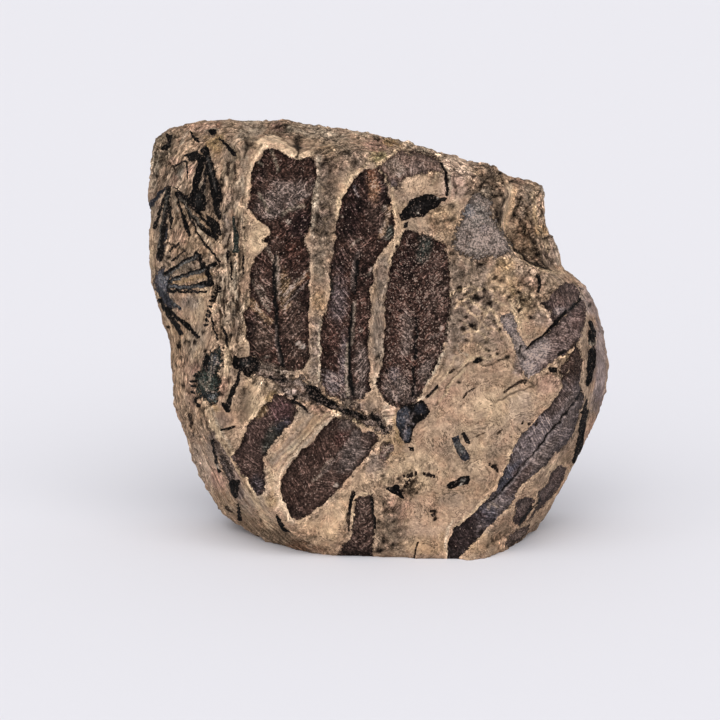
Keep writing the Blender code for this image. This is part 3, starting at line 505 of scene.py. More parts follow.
# Strokes of tone on the stone: the line, half width, tone, strength
STONE_STROKES = [
    # This stroke and the next, pale rims along the top and left of leaf one: the broken stone's own paler edge,
    # brightened as painted highlight where it faces the light.
    ([(262, 141), (270, 138), (280, 142), (290, 152), (298, 158), (310, 151)], 4.5, tone(204, 176, 146), 0.9),
    ([(266, 146), (258, 152), (252, 162), (248, 175), (248, 192), (242, 205), (238, 214)], 2.8,
     tone(204, 176, 146), 0.95),
    ([(318, 160), (318, 180), (314, 210), (312, 235)], 2.0, LIGHT_GRAY_TAN, 0.6),
    ([(366, 166), (356, 172), (348, 184), (340, 200), (336, 218)], 2.0, PALE_TAN, 0.8),
    ([(377, 165), (385, 172), (391, 186), (395, 208), (397, 226)], 1.8, PALE_TAN, 0.7),
    ([(376, 165), (386, 160), (393, 153), (405, 150)], 1.2, PALE_TAN, 0.6),
    ([(398, 224), (404, 226), (402, 238), (396, 248), (390, 262)], 1.6, PALE_TAN, 0.6),
    ([(321, 322), (319, 335), (320, 350), (319, 380)], 1.3, LIGHT_GRAY_TAN, 0.7),
    ([(432, 187), (436, 176), (441, 170)], 1.0, PALE_TAN, 0.7),
    ([(443, 165), (449, 172), (450, 196)], 1.2, LIGHT_GRAY_TAN, 0.8),
    # A pale line along the arc of the front layer's edge: painted highlight.
    ([(493, 222), (500, 229), (508, 242), (517, 254), (528, 263), (543, 271), (561, 273)], 1.4,
     PALE_TAN, 0.8),
    ([(504, 258), (510, 262), (514, 272), (506, 284)], 1.6, PALE_TAN, 0.5),
    ([(455, 309), (460, 302), (468, 297), (476, 291)], 0.9, PALE_TAN, 0.9),
    ([(472, 303), (480, 306), (486, 312), (484, 320)], 0.9, PALE_TAN, 0.9),
    ([(462, 334), (470, 330), (480, 332), (486, 340)], 0.9, PALE_TAN, 0.8),
    ([(488, 308), (494, 312), (498, 320), (500, 330)], 1.0, PALE_TAN, 0.9),
    ([(493, 300), (502, 304), (510, 308), (516, 316)], 1.0, PALE_TAN, 0.9),
    ([(514, 290), (512, 302), (514, 312), (520, 322)], 1.3, tone(206, 176, 136), 0.9),
    ([(518, 288), (518, 300), (521, 312), (529, 324)], 0.9, PALE_TAN, 0.9),
    ([(502, 296), (510, 300), (515, 308)], 0.8, PALE_TAN, 0.8),
    ([(478, 345), (484, 350), (492, 352)], 0.8, PALE_TAN, 0.8),
    ([(505, 326), (510, 334), (520, 338), (531, 336)], 0.9, PALE_TAN, 0.8),
    ([(456, 344), (460, 352), (468, 356)], 0.8, LIGHT_GRAY_TAN, 0.8),
    ([(468, 312), (476, 316), (480, 324), (477, 331)], 0.8, PALE_TAN, 0.8),
    ([(538, 308), (546, 312), (549, 318)], 0.9, PALE_TAN, 0.7),
    ([(462, 288), (470, 286), (478, 289)], 0.8, PALE_TAN, 0.7),
    ([(505, 284), (511, 300), (517, 318), (526, 336)], 2.0, PALE_TAN, 0.7),
    ([(393, 408), (400, 402), (418, 400), (424, 397)], 1.6, tone(208, 182, 156), 0.9),
    ([(388, 409), (391, 416), (390, 424)], 2.6, tone(218, 188, 162), 0.9),
    ([(383, 441), (392, 443), (393, 451), (386, 460), (380, 458), (380, 449), (383, 441)], 0.7, BLACK_BROWN, 0.9),
    ([(316, 405), (323, 412)], 1.2, DARK_BROWN, 0.9),
    ([(341, 413), (352, 419), (362, 424), (370, 428)], 0.8, tone(178, 158, 128), 0.7),
    ([(401, 445), (396, 432), (393, 418)], 1.3, OCHRE, 0.5),
    ([(345, 409), (335, 414), (325, 423), (312, 437), (298, 450), (284, 465), (277, 478),
      (276, 492), (283, 508), (292, 522)], 3.0, tone(196, 170, 144), 0.9),
    ([(300, 408), (312, 416), (300, 430), (284, 447), (272, 462)], 2.4, GRAY_TAN, 0.6),
    ([(322, 404), (333, 409), (340, 413)], 1.2, PALE_TAN, 0.7),
    ([(337, 413), (345, 417), (360, 420)], 1.0, PALE_TAN, 0.7),
    ([(214, 434), (222, 454), (232, 474), (240, 494)], 5.0, tone(112, 98, 92), 0.75),
    ([(205, 400), (213, 425), (226, 447), (243, 475), (258, 505), (270, 527)], 2.8,
     tone(194, 168, 138), 0.95),
    ([(201, 404), (208, 426), (219, 448), (230, 468)], 0.9, DARK_BROWN, 0.7),
    ([(511, 187), (508, 200), (506, 214), (503, 226)], 2.6, tone(208, 180, 150), 0.95),
    ([(541, 183), (546, 200), (549, 222), (556, 240), (558, 262)], 2.2, tone(178, 158, 138), 0.8),
    ([(533, 192), (534, 212), (541, 232), (549, 252)], 1.4, PALE_TAN, 0.7),
    # This stroke and the next, black-brown in the notch's recess: painted shade.
    ([(514, 214), (518, 218), (523, 227), (525, 233)], 2.4, BLACK_BROWN, 1.0),
    ([(514, 210), (517, 205), (521, 197)], 1.2, BLACK_BROWN, 0.9),
    ([(526, 208), (531, 202), (536, 196), (541, 189)], 0.8, DEEP_BROWN, 0.9),
    ([(531, 237), (540, 239), (552, 236)], 1.0, BLACK_BROWN, 0.9),
    ([(534, 241), (536, 250), (541, 259), (547, 268)], 2.0, BLACK_BROWN, 0.9),
    ([(529, 234), (532, 243), (533, 252)], 1.0, BLACK_BROWN, 0.8),
    # A black line just behind that arc: painted shadow.
    ([(510, 240), (514, 249), (521, 256), (532, 264), (545, 269)], 1.6, BLACK_BROWN, 1.0),
    ([(526, 215), (532, 222), (530, 232)], 0.8, DEEP_BROWN, 0.6),
    ([(533, 206), (535, 220), (538, 230)], 1.0, tone(206, 172, 134), 0.8),
    ([(546, 196), (545, 212), (548, 228)], 0.8, DEEP_BROWN, 0.6),
    ([(544, 244), (546, 256), (552, 264)], 0.9, DEEP_BROWN, 0.7),
    ([(493, 178), (498, 176), (503, 181), (502, 187), (496, 188)], 0.9, BLACK_BROWN, 0.8),
    ([(481, 175), (484, 183), (480, 190)], 1.0, BLACK_BROWN, 0.7),
    ([(488, 172), (492, 168), (495, 174)], 0.9, BLACK_BROWN, 0.6),
    ([(488, 193), (494, 197), (501, 196), (504, 202)], 1.1, BLACK_BROWN, 0.7),
    ([(484, 204), (490, 208), (497, 207)], 0.8, DEEP_BROWN, 0.6),
    ([(495, 210), (498, 220), (502, 227)], 1.6, BLACK_BROWN, 0.9),
    ([(210, 402), (218, 426), (230, 446)], 1.2, LIGHT_GRAY_TAN, 0.6),
    ([(249, 300), (258, 310), (272, 321)], 1.4, WARM_TAN, 0.8),
    ([(355, 496), (363, 494), (371, 493)], 1.0, PALE_TAN, 0.8),
    ([(353, 497), (351, 503), (352, 511), (354, 518), (352, 527)], 1.1, PALE_TAN, 0.8),
    ([(455, 527), (462, 520), (475, 510), (487, 498)], 1.3, PALE_TAN, 0.8),
    ([(497, 485), (503, 472), (510, 455), (516, 441)], 1.0, PALE_TAN, 0.6),
    ([(168, 284), (190, 280), (212, 274)], 1.4, OCHRE, 0.6),
    ([(157, 292), (163, 312), (172, 333)], 1.2, PALE_TAN, 0.6),
    ([(183, 198), (195, 222), (212, 248)], 1.0, LIGHT_GRAY_TAN, 0.7),
    ([(174, 196), (178, 212)], 0.8, LIGHT_GRAY_TAN, 0.6),
    ([(182, 137), (180, 146), (188, 131)], 0.9, LIGHT_GRAY_TAN, 0.8),
    ([(206, 131), (213, 129), (219, 130)], 0.9, LIGHT_GRAY_TAN, 0.8),
    ([(187, 240), (204, 233), (214, 247)], 1.0, PALE_TAN, 0.5),
    ([(399, 478), (404, 473), (410, 471)], 0.8, DARK_BROWN, 0.7),
    ([(403, 489), (409, 485), (414, 479), (418, 482)], 0.9, DARK_BROWN, 0.7),
    ([(402, 494), (408, 491), (413, 492)], 0.8, DARK_BROWN, 0.6),
    ([(416, 478), (420, 484), (417, 491)], 0.8, DARK_BROWN, 0.6),
    ([(340, 407), (328, 414), (316, 426), (302, 440), (288, 453), (275, 467)], 0.6, PALE_TAN, 0.9),
    ([(344, 412), (332, 418), (321, 429), (309, 441), (296, 454), (285, 470)], 0.7,
     LIGHT_GRAY_TAN, 0.9),
    ([(336, 412), (324, 420), (312, 432), (299, 446), (287, 458), (279, 470)], 0.6, BROWN, 0.8),
    ([(318, 412), (308, 424), (296, 437), (283, 449), (272, 461)], 0.6, BROWN, 0.7),
    ([(326, 410), (314, 423), (300, 438), (286, 452), (272, 468)], 0.5, DARK_BROWN, 0.5),
    ([(400, 518), (404, 524), (408, 530)], 0.6, BROWN, 0.6),
    ([(399, 446), (404, 460), (401, 470)], 0.7, BROWN, 0.4),
    ([(436, 404), (443, 398), (447, 388), (453, 379), (461, 370), (468, 364), (478, 361)], 0.8,
     DARK_BROWN, 0.9),
    ([(440, 401), (446, 394), (451, 384), (457, 376), (465, 368)], 1.0, PALE_TAN, 0.8),
    ([(478, 361), (484, 366), (492, 364), (500, 360), (508, 359), (514, 366), (521, 374),
      (528, 381), (535, 386)], 0.7, DARK_BROWN, 0.85),
    ([(532, 386), (524, 390), (517, 391), (508, 396), (497, 401)], 0.8, DARK_BROWN, 0.9),
    ([(462, 366), (470, 359), (478, 357), (488, 359), (498, 355)], 1.1, PALE_TAN, 0.8),
    ([(499, 356), (506, 352), (513, 350), (517, 340)], 0.6, BROWN, 0.7),
    ([(447, 300), (453, 292), (461, 290), (469, 296), (474, 304)], 0.8, PALE_TAN, 0.8),
    ([(452, 312), (450, 326), (456, 338), (454, 352)], 0.7, DARK_BROWN, 0.6),
    ([(456, 300), (464, 306), (470, 314), (479, 316), (487, 311)], 0.8, PALE_TAN, 0.8),
    ([(462, 322), (470, 328), (472, 338), (466, 346)], 0.8, PALE_TAN, 0.7),
    ([(478, 290), (486, 288), (494, 291), (497, 299)], 0.8, PALE_TAN, 0.8),
    ([(480, 322), (488, 328), (498, 330), (503, 338)], 0.8, PALE_TAN, 0.7),
    ([(443, 352), (437, 366), (428, 380), (420, 392)], 1.4, LIGHT_GRAY_TAN, 0.8),
    ([(448, 354), (442, 368), (433, 382), (425, 394)], 0.7, BROWN, 0.8),
    ([(455, 356), (449, 370), (440, 384), (433, 396)], 0.8, PALE_TAN, 0.6),
    ([(232, 200), (236, 216), (233, 232), (236, 246)], 0.7, DARK_BROWN, 0.6),
    ([(240, 214), (237, 228), (241, 244), (238, 258), (241, 270)], 0.8, DARK_BROWN, 0.8),
    ([(246, 216), (243, 232), (246, 246), (243, 262)], 0.8, PALE_TAN, 0.8),
    ([(227, 262), (229, 280), (226, 296), (229, 310)], 0.7, DARK_BROWN, 0.8),
    ([(236, 262), (234, 282), (237, 300)], 0.8, LIGHT_GRAY_TAN, 0.8),
    ([(220, 312), (222, 326), (219, 338)], 0.7, DARK_BROWN, 0.8),
    ([(236, 312), (233, 326), (236, 342)], 0.6, BROWN, 0.8),
    ([(168, 128), (176, 136), (172, 146)], 0.8, DARK_BROWN, 0.6),
    ([(240, 128), (250, 134), (246, 144), (256, 148)], 0.9, DARK_BROWN, 0.7),
    ([(258, 138), (268, 133), (279, 136), (290, 145), (299, 152), (308, 149)], 0.8, BROWN, 0.8),
    ([(262, 145), (256, 152), (250, 164), (246, 178), (246, 192), (240, 206)], 0.7, BROWN, 0.7),
    ([(222, 440), (232, 458), (243, 478), (252, 496)], 0.8, BROWN, 0.8),
    ([(213, 440), (224, 462), (236, 484), (247, 504)], 0.8, DARK_BROWN, 0.6),
    ([(199, 440), (209, 462), (219, 484), (230, 502)], 0.7, BROWN, 0.7),
    ([(430, 400), (437, 412), (433, 425)], 0.8, BROWN, 0.3),
    ([(514, 191), (512, 203), (508, 214), (504, 226)], 2.3, tone(222, 188, 152), 1.0),
    ([(499, 214), (502, 205), (508, 196)], 0.9, BLACK_BROWN, 0.8),
    ([(468, 296), (477, 300), (484, 297)], 1.0, BLACK_BROWN, 0.9),
    ([(270, 132), (277, 127), (287, 126)], 1.2, BLACK_BROWN, 0.9),
    ([(295, 140), (299, 147), (297, 157)], 1.6, BLACK_BROWN, 0.9),
    ([(243, 136), (248, 146), (245, 158)], 1.1, BLACK_BROWN, 0.8),
    ([(310, 149), (315, 143), (319, 139)], 0.9, BLACK_BROWN, 0.7),
    ([(374, 140), (383, 139), (389, 143)], 0.9, BLACK_BROWN, 0.6),
    ([(452, 521), (447, 532), (445.5, 545), (446, 557)], 0.8, tone(208, 184, 158), 0.9),
    ([(466, 491), (478, 505), (470, 508)], 0.6, BROWN, 0.3),
    ([(470, 326), (476, 329)], 1.2, BLACK_BROWN, 1.0),
    ([(476, 360), (482, 361)], 1.1, BLACK_BROWN, 1.0),
    ([(486, 303), (491, 306)], 0.9, BLACK_BROWN, 0.9),
    ([(493, 322), (498, 326)], 0.9, BLACK_BROWN, 0.8),
    ([(519, 290), (521, 296), (520, 303)], 0.8, DEEP_BROWN, 0.8),
    ([(458, 318), (463, 322)], 0.8, BLACK_BROWN, 0.8)]

# Ticks of dark grit that stand in the stone: chart x and y, half width, half height, turn
STONE_TICKS = [
    (467, 293, 1.7, 0.9, -1), (477, 297, 3.6, 1.9, 9), (489, 303, 2.2, 1.1, -27), (461, 299, 1.2, 0.6, 17),
    (473, 325, 3.8, 2.0, -19), (460, 320, 1.4, 0.7, 10), (479, 359, 2.6, 1.4, 23), (530, 318, 1.7, 0.9, 20),
    (500, 360, 1.8, 0.9, -10), (518, 293, 1.7, 0.9, -4), (484, 289, 1.4, 0.7, -2), (470, 308, 1.2, 0.6, 20),
    (495, 322, 1.9, 1.0, 15), (488, 333, 1.7, 0.9, 26), (466, 340, 1.7, 0.9, -8), (501, 282, 1.6, 0.8, -3),
    (509, 297, 1.4, 0.7, -7), (497, 349, 1.6, 0.8, 29),
    (328, 206, 5, 1.0, 8), (318, 217, 1.0, 5, -20), (333, 233, 3, 0.8, -30), (315, 230, 3, 0.9, -25),
    (325, 234, 0.8, 3, 20), (330, 214, 0.8, 4, 10), (323, 209, 3, 0.8, -20), (377, 357, 1.3, 3, 10),
    (205, 173, 1.4, 2, 0), (222, 186, 2.4, 2, 0), (222, 180, 1.5, 1.5, 0), (236, 180, 1.2, 1.5, 0),
    (244, 228, 2, 2, 0), (178, 218, 2, 1.5, 0), (225, 247, 1.6, 1.4, 0), (168, 257, 1.2, 1, 0),
    (195, 262, 1, 1, 0), (168, 327, 2.5, 1, 0), (180, 345, 1.6, 3.5, 10), (188, 342, 2, 1.6, 0),
    (204, 332, 1.6, 2, 0), (182, 358, 1.2, 1.6, 0), (195, 342, 1.2, 1.8, 0), (176, 365, 0.8, 3, -20),
    (183, 385, 1.2, 2, 0), (206, 350, 1.3, 1.3, 0), (229, 380, 1.6, 2.4, 0), (459, 382, 1.4, 0.8, 0),
    (433, 392, 0.9, 1.2, 0), (382, 476, 1.3, 1.6, -30), (398, 478, 1, 1, 0), (352, 476, 1, 1, 0),
    (348, 515, 1.2, 3, 20), (495, 465, 1.4, 1.2, 0), (434, 511, 2.2, 1.6, 0), (436, 518, 1.2, 2, 0),
    (500, 330, 1.2, 1.6, 0), (523, 300, 1.5, 1.2, 0), (507, 357, 3, 1.6, 0), (482, 263, 4, 2.4, 0),
    (497, 354, 1.4, 1.2, 0), (489, 350, 1.3, 1, 0), (530, 318, 1.6, 1.4, 0), (520, 310, 1.2, 1.5, 0),
    (561, 372, 1.5, 1.5, 0), (536, 368, 1.2, 1.2, 0), (500, 173, 2, 1.4, 0), (511, 182, 3, 1, 10),
    (448, 180, 1, 2.5, 0), (454, 170, 1, 2, 0), (452, 206, 3.5, 1.4, 20), (440, 222, 1.5, 1.2, 0),
    (580, 300, 1.3, 1.2, 0), (590, 305, 1.4, 1.4, 0), (258, 374, 1.2, 1.2, 0), (243, 392, 1, 3, 10),
    (384, 505, 1, 4, 20), (392, 512, 1, 1.6, 0), (378, 522, 1.6, 4, 0), (384, 540, 2.2, 3, 0),
    (392, 545, 2, 1.5, 0), (380, 550, 3, 2.2, 0), (372, 505, 1, 1.4, 0), (466, 528, 0.9, 1, 0),
    (488, 545, 1.5, 1.8, 0), (492, 540, 1.2, 1.2, 0), (545, 268, 2.4, 1.4, 0), (260, 520, 1, 2.2, 0)]

# Soft spots, strokes and glints of tone on the leaf films
FILM_SPOTS = [
    (372, 180, 5, 10, 0, tone(112, 84, 68), 0.9), (374, 190, 4.5, 13, 0, tone(138, 104, 82), 1.0),
    # The first spot of this row, gray over the upper part of leaf one: painted sheen.
    (283, 197, 30, 17, -30, FILM_GRAY, 0.75), (262, 185, 10, 22, 10, FILM_BROWN, 0.5),
    (298, 225, 12, 18, 20, BLACK_UMBER, 0.9), (285, 170, 22, 12, 20, UMBER, 0.6),
    (260, 172, 5, 14, 10, BLACK_UMBER, 0.7), (296, 248, 12, 12, 0, RED_UMBER, 0.4), (302, 228, 7, 14, 0, BLACK_UMBER, 0.8),
    (270, 245, 14, 10, 0, tone(58, 44, 38), 0.6), (262, 285, 9, 22, -15, FILM_BROWN, 0.6),
    (300, 300, 10, 24, 0, BLACK_UMBER, 0.6), (292, 318, 13, 22, 0, tone(70, 56, 49), 0.65),
    (262, 335, 14, 20, 0, tone(74, 60, 52), 0.75), (252, 330, 5, 20, 0, BLACK_UMBER, 0.7),
    (296, 350, 12, 16, 0, tone(70, 56, 49), 0.6), (284, 290, 7, 18, 0, tone(104, 84, 62), 0.6),
    (270, 355, 14, 10, 0, UMBER, 0.7), (308, 275, 3, 6, 0, RUST, 0.6),
    (352, 215, 12, 34, 10, BLACK_UMBER, 0.9), (386, 195, 6, 24, -10, BLACK_UMBER, 0.9),
    (374, 215, 9, 18, 0, FILM_BROWN, 0.7), (372, 172, 5, 8, 0, RUST, 0.3),
    (360, 182, 6, 12, 0, BLACK_UMBER, 0.8), (352, 250, 16, 14, 0, FILM_BROWN, 0.5),
    (389, 232, 6, 8, 20, GREEN_SLATE, 0.7), (340, 262, 7, 14, 10, BLACK_UMBER, 0.7),
    (338, 300, 9, 28, 0, tone(88, 77, 76), 0.6), (330, 285, 4, 12, 0, GREEN_SLATE, 0.6),
    (366, 272, 7, 16, 0, BLACK_UMBER, 0.6), (362, 320, 8, 30, 0, tone(58, 42, 37), 0.5),
    (361, 365, 8, 22, 0, FILM_GRAY, 0.7), (344, 362, 5, 34, 0, FILM_LILAC, 0.6),
    (332, 350, 9, 26, 0, tone(60, 42, 37), 0.6), (335, 385, 12, 12, 20, FILM_LILAC, 0.5),
    (352, 392, 16, 8, 0, FILM_GRAY, 0.7), (370, 330, 4, 30, 0, tone(64, 50, 43), 0.5),
    (424, 248, 9, 16, 10, GREEN_SLATE, 0.8), (408, 262, 10, 26, 0, BLACK_UMBER, 0.6),
    (436, 290, 12, 36, 0, FILM_BROWN, 0.7), (396, 310, 8, 30, 0, UMBER, 0.6),
    (407, 335, 8, 26, 0, FILM_GRAY, 0.6), (430, 350, 10, 20, 15, FILM_BROWN, 0.5),
    (400, 390, 18, 16, 0, FILM_GRAY, 0.75), (394, 374, 6, 8, 0, FILM_LILAC, 0.6),
    (425, 372, 6, 16, 25, FILM_GRAY, 0.7), (443, 328, 1.6, 2.4, 0, ROSE, 1.0),
    (415, 170, 14, 10, 0, FILM_GRAY, 0.5), (430, 160, 12, 6, 10, FILM_BROWN, 0.5),
    (395, 168, 10, 9, 0, GREEN_GRAY, 0.35), (394, 184, 4, 6, 0, FILM_LILAC, 0.6),
    (282, 412, 14, 12, 0, tone(70, 50, 50), 0.7), (272, 440, 10, 18, 30, GREEN_SLATE, 0.7),
    (284, 425, 8, 10, 20, SLATE, 0.7), (250, 462, 12, 12, 0, FILM_BROWN, 0.6),
    (258, 485, 8, 12, 0, SLATE, 0.6), (262, 412, 5, 9, 30, OCHRE, 0.35),
    (355, 448, 13, 28, 35, tone(86, 75, 70), 0.9), (318, 452, 12, 22, 35, UMBER, 0.5),
    (300, 490, 16, 20, 30, UMBER, 0.5), (345, 425, 8, 6, 0, FILM_GRAY, 0.7),
    (366, 440, 8, 8, 0, FILM_BROWN, 0.7), (342, 440, 8, 10, 30, tone(64, 42, 38), 0.6),
    (322, 480, 14, 12, 40, FILM_BROWN, 0.5), (296, 512, 12, 6, 20, BLACK_UMBER, 0.5),
    (535, 435, 10, 26, 40, FILM_LILAC, 0.8), (508, 478, 8, 22, 35, FILM_BLUE, 0.8),
    (557, 400, 10, 22, 35, FILM_BROWN, 0.7), (572, 410, 8, 24, 20, FILM_GRAY, 0.7),
    (545, 455, 9, 24, 40, FILM_GRAY, 0.7), (520, 478, 9, 22, 40, FILM_BROWN, 0.7),
    (485, 512, 14, 12, 40, FILM_BLUE, 0.6), (466, 533, 18, 26, 35, tone(40, 31, 30), 0.95),
    (452, 552, 8, 12, 0, BLACK_UMBER, 0.8), (574, 378, 7, 12, 10, FILM_BROWN, 0.8),
    (565, 292, 14, 8, 20, FILM_BROWN, 0.7), (545, 306, 6, 4, 0, COAL, 0.8),
    (560, 311, 8, 5, -20, LILAC_GRAY, 0.7), (578, 320, 9, 14, 0, tone(84, 64, 58), 0.7),
    (560, 334, 14, 10, -35, tone(84, 68, 62), 0.6), (537, 350, 14, 12, -30, tone(150, 135, 129), 0.9),
    (530, 366, 10, 10, 0, LILAC_GRAY, 0.7), (507, 314, 8, 6, -30, FILM_BROWN, 0.6),
    (508, 328, 9, 9, -30, LILAC_GRAY, 0.8), (363, 505, 8, 12, 0, FILM_BROWN, 0.5),
    (364, 530, 10, 14, 0, UMBER, 0.5), (356, 550, 14, 8, 0, BLACK_UMBER, 0.4),
    (524, 505, 7, 8, 30, tone(90, 78, 72), 0.5), (519, 521, 4, 4, 0, BLACK_UMBER, 0.5),
    (556, 478, 8, 8, 0, tone(80, 64, 59), 0.5), (515, 540, 5, 4, -20, BLACK_UMBER, 0.5),
    (478, 215, 12, 14, 0, tone(114, 108, 102), 0.5), (490, 240, 18, 14, 20, tone(128, 114, 106), 0.7),
    (468, 212, 5, 10, 20, BLUE_GRAY, 0.8), (463, 240, 6, 12, 0, FILM_GRAY, 0.5),
    (484, 228, 5, 5, 0, FILM_LILAC, 0.6), (300, 381, 20, 5, 15, STONE_GRAY, 0.7),
    (262, 368, 14, 4, 15, GRAY_TAN, 0.6), (345, 410, 12, 4, 20, GRAY_TAN, 0.6),
    (384, 424, 5, 10, 0, GRAY_TAN, 0.6), (208, 396, 8, 6, 0, SLATE, 0.6),
    (214, 362, 5, 12, 10, SLATE, 0.8), (163, 280, 5, 9, -20, BLUE_GRAY, 0.5),
    (576, 362, 5, 10, 20, FILM_BROWN, 0.7),
    (248, 364, 5, 4, 0, GREEN_SLATE, 0.6), (163, 244, 3, 14, 5, SLATE, 0.8)]
# Soft spots of tone on the black pieces
BLACK_SPOTS = [
    # The two blue-gray spots of this row, on the black scrap beside the stalk's end: painted sheen.
    (403, 417, 7, 10, 15, tone(66, 67, 73), 0.8), (407, 434, 4, 8, 10, tone(78, 78, 84), 0.8),
    (420, 409, 6, 5, -30, tone(40, 40, 45), 0.8), (461, 449, 5, 8, -30, tone(88, 85, 82), 0.8),
    (213, 178, 3, 14, -15, tone(44, 42, 40), 0.7), (198, 200, 4, 8, 0, tone(48, 46, 44), 0.7),
    (420, 207, 10, 3, -20, tone(46, 42, 40), 0.6), (592, 358, 2, 10, 0, tone(50, 44, 42), 0.6),
    (463, 480, 3, 2, 0, tone(120, 112, 104), 0.8), (246, 363, 6, 4, 0, tone(46, 46, 44), 0.7)]
FILM_STROKES = [
    ([(298, 343), (302.5, 346)], 1.5, tone(216, 206, 192), 1.0),
    # This stroke and the next seven, pale lines along the black rays of the two whorls: painted sheen.
    ([(167, 275), (184, 264.5), (198, 256)], 0.55, tone(118, 115, 110), 0.85),
    ([(170, 281.5), (187, 276), (204, 270)], 0.55, tone(118, 115, 110), 0.85),
    ([(170, 287.5), (190, 287.5), (204, 286)], 0.55, tone(104, 102, 100), 0.8),
    ([(163, 289), (171, 300), (179, 308)], 0.55, tone(104, 102, 100), 0.8),
    ([(168, 195), (164, 214), (161, 232), (160, 248)], 0.6, tone(96, 90, 82), 0.8),
    ([(166, 191), (158, 201), (150, 210)], 0.6, tone(96, 90, 82), 0.7),
    ([(180, 197), (192, 213), (204, 227)], 0.55, tone(120, 110, 98), 0.8),
    ([(208, 158), (212, 174), (217, 191)], 0.6, tone(74, 70, 66), 0.7),
    ([(389, 208), (387, 222), (381, 235)], 1.6, tone(150, 122, 98), 0.9),
    ([(247, 304), (258, 312), (273, 322)], 1.3, tone(140, 112, 88), 0.9),
    ([(310, 273), (298, 284), (284, 300)], 1.0, tone(120, 98, 80), 0.8),
    ([(270, 150), (274, 157), (278, 170)], 0.9, LIGHT_GRAY_TAN, 0.7),
    ([(258, 193), (264, 202), (269, 212)], 0.9, LIGHT_GRAY_TAN, 0.6),
    ([(256, 161), (262, 164)], 0.9, LIGHT_GRAY_TAN, 0.6),
    # This stroke and the next, a gray band and a paler streak across leaf one: painted sheen.
    ([(270, 217), (285, 207), (300, 198), (313, 188)], 2.6, FILM_GRAY, 0.8),
    ([(282, 214), (292, 208), (302, 206)], 1.4, LIGHT_GRAY_TAN, 0.45),
    ([(266, 245), (270, 252), (273, 262)], 1.0, GRAY_TAN, 0.6),
    ([(252, 281), (259, 294), (268, 310)], 1.2, GRAY_TAN, 0.6),
    ([(256, 279), (263, 291), (271, 305)], 0.8, GRAY_TAN, 0.4),
    ([(251, 300), (262, 314), (272, 322)], 1.4, WARM_TAN, 0.7),
    ([(310, 268), (298, 280), (284, 296)], 1.2, GRAY_TAN, 0.7),
    ([(309, 282), (297, 292), (284, 306)], 1.0, FILM_GRAY, 0.7),
    ([(277, 256), (278, 275), (279, 300)], 1.2, GRAY_TAN, 0.7),
    ([(275, 322), (276, 345), (280, 362)], 0.9, FILM_GRAY, 0.8),
    ([(354, 302), (354, 320), (352, 345)], 0.9, GRAY_TAN, 0.7),
    ([(346.5, 345), (346.5, 370), (348, 395)], 0.9, LIGHT_GRAY_TAN, 0.6),
    ([(359, 252), (354, 262), (352, 290)], 1.6, FILM_GRAY, 0.6),
    ([(384, 206), (386, 218), (381, 232)], 1.4, GRAY_TAN, 0.6),
    ([(355, 186), (358, 196)], 0.8, FILM_LILAC, 0.8),
    ([(372, 268), (368, 276)], 1.2, GRAY_TAN, 0.5),
    ([(352, 246), (358, 240)], 1.0, GRAY_TAN, 0.5),
    ([(418, 298), (422, 306), (426, 310)], 0.8, FILM_GRAY, 0.6),
    ([(428, 338), (436, 336), (442, 330)], 0.8, FILM_GRAY, 0.6),
    ([(385, 368), (390, 380), (396, 384)], 0.8, SOOT, 0.7),
    ([(488, 507), (492, 503), (497, 507)], 1.0, GRAY_TAN, 0.8),
    ([(490, 505), (511, 483), (536, 453), (556, 429), (577, 404)], 0.7, LILAC_GRAY, 0.6),
    ([(358, 426), (349, 440), (340, 453), (329, 467), (319, 477)], 1.0, FILM_GRAY, 0.7),
    ([(322, 470), (332, 458)], 0.8, GRAY_TAN, 0.5),
    ([(313, 480), (321, 475)], 1.0, GRAY_TAN, 0.5),
    ([(276, 445), (268, 462), (266, 480)], 1.0, FILM_GRAY, 0.6),
    ([(590, 342), (584, 345)], 0.8, LIGHT_GRAY_TAN, 0.6),
    # This line and the next, lilac-gray over the black scrap beside the stalk's end: painted sheen.
    ([(413, 414), (406, 424), (404, 440)], 0.9, LILAC_GRAY, 0.5),
    ([(404, 417), (414, 424)], 0.7, LILAC_GRAY, 0.5),
    # A blue-gray line along a ray of the lower whorl: painted sheen.
    ([(171, 287), (190, 286)], 0.6, BLUE_GRAY, 0.6),
    ([(212, 356), (210, 378), (206, 390)], 1.0, GREEN_GRAY, 0.5),
    ([(217, 358), (214, 372)], 0.8, GREEN_GRAY, 0.5),
    ([(200, 381), (206, 388), (214, 392)], 0.9, GREEN_GRAY, 0.6),
    ([(590, 345), (597, 343)], 0.8, LIGHT_GRAY_TAN, 0.7),
    ([(540, 470), (552, 458)], 1.6, SOOT, 0.4),
    ([(322, 374), (331, 378), (339, 386)], 0.6, LILAC_GRAY, 0.7),
    ([(322, 379), (330, 383), (336, 390)], 0.6, LILAC_GRAY, 0.7),
    ([(323, 385), (330, 389), (334, 395)], 0.6, LILAC_GRAY, 0.7),
    ([(322, 369), (332, 373), (341, 380)], 0.6, LILAC_GRAY, 0.6),
    ([(381, 446), (391, 449)], 0.5, LIGHT_GRAY_TAN, 0.7),
    ([(382, 450), (391, 453)], 0.5, LIGHT_GRAY_TAN, 0.7),
    ([(383, 454), (389, 456)], 0.5, LIGHT_GRAY_TAN, 0.6)]
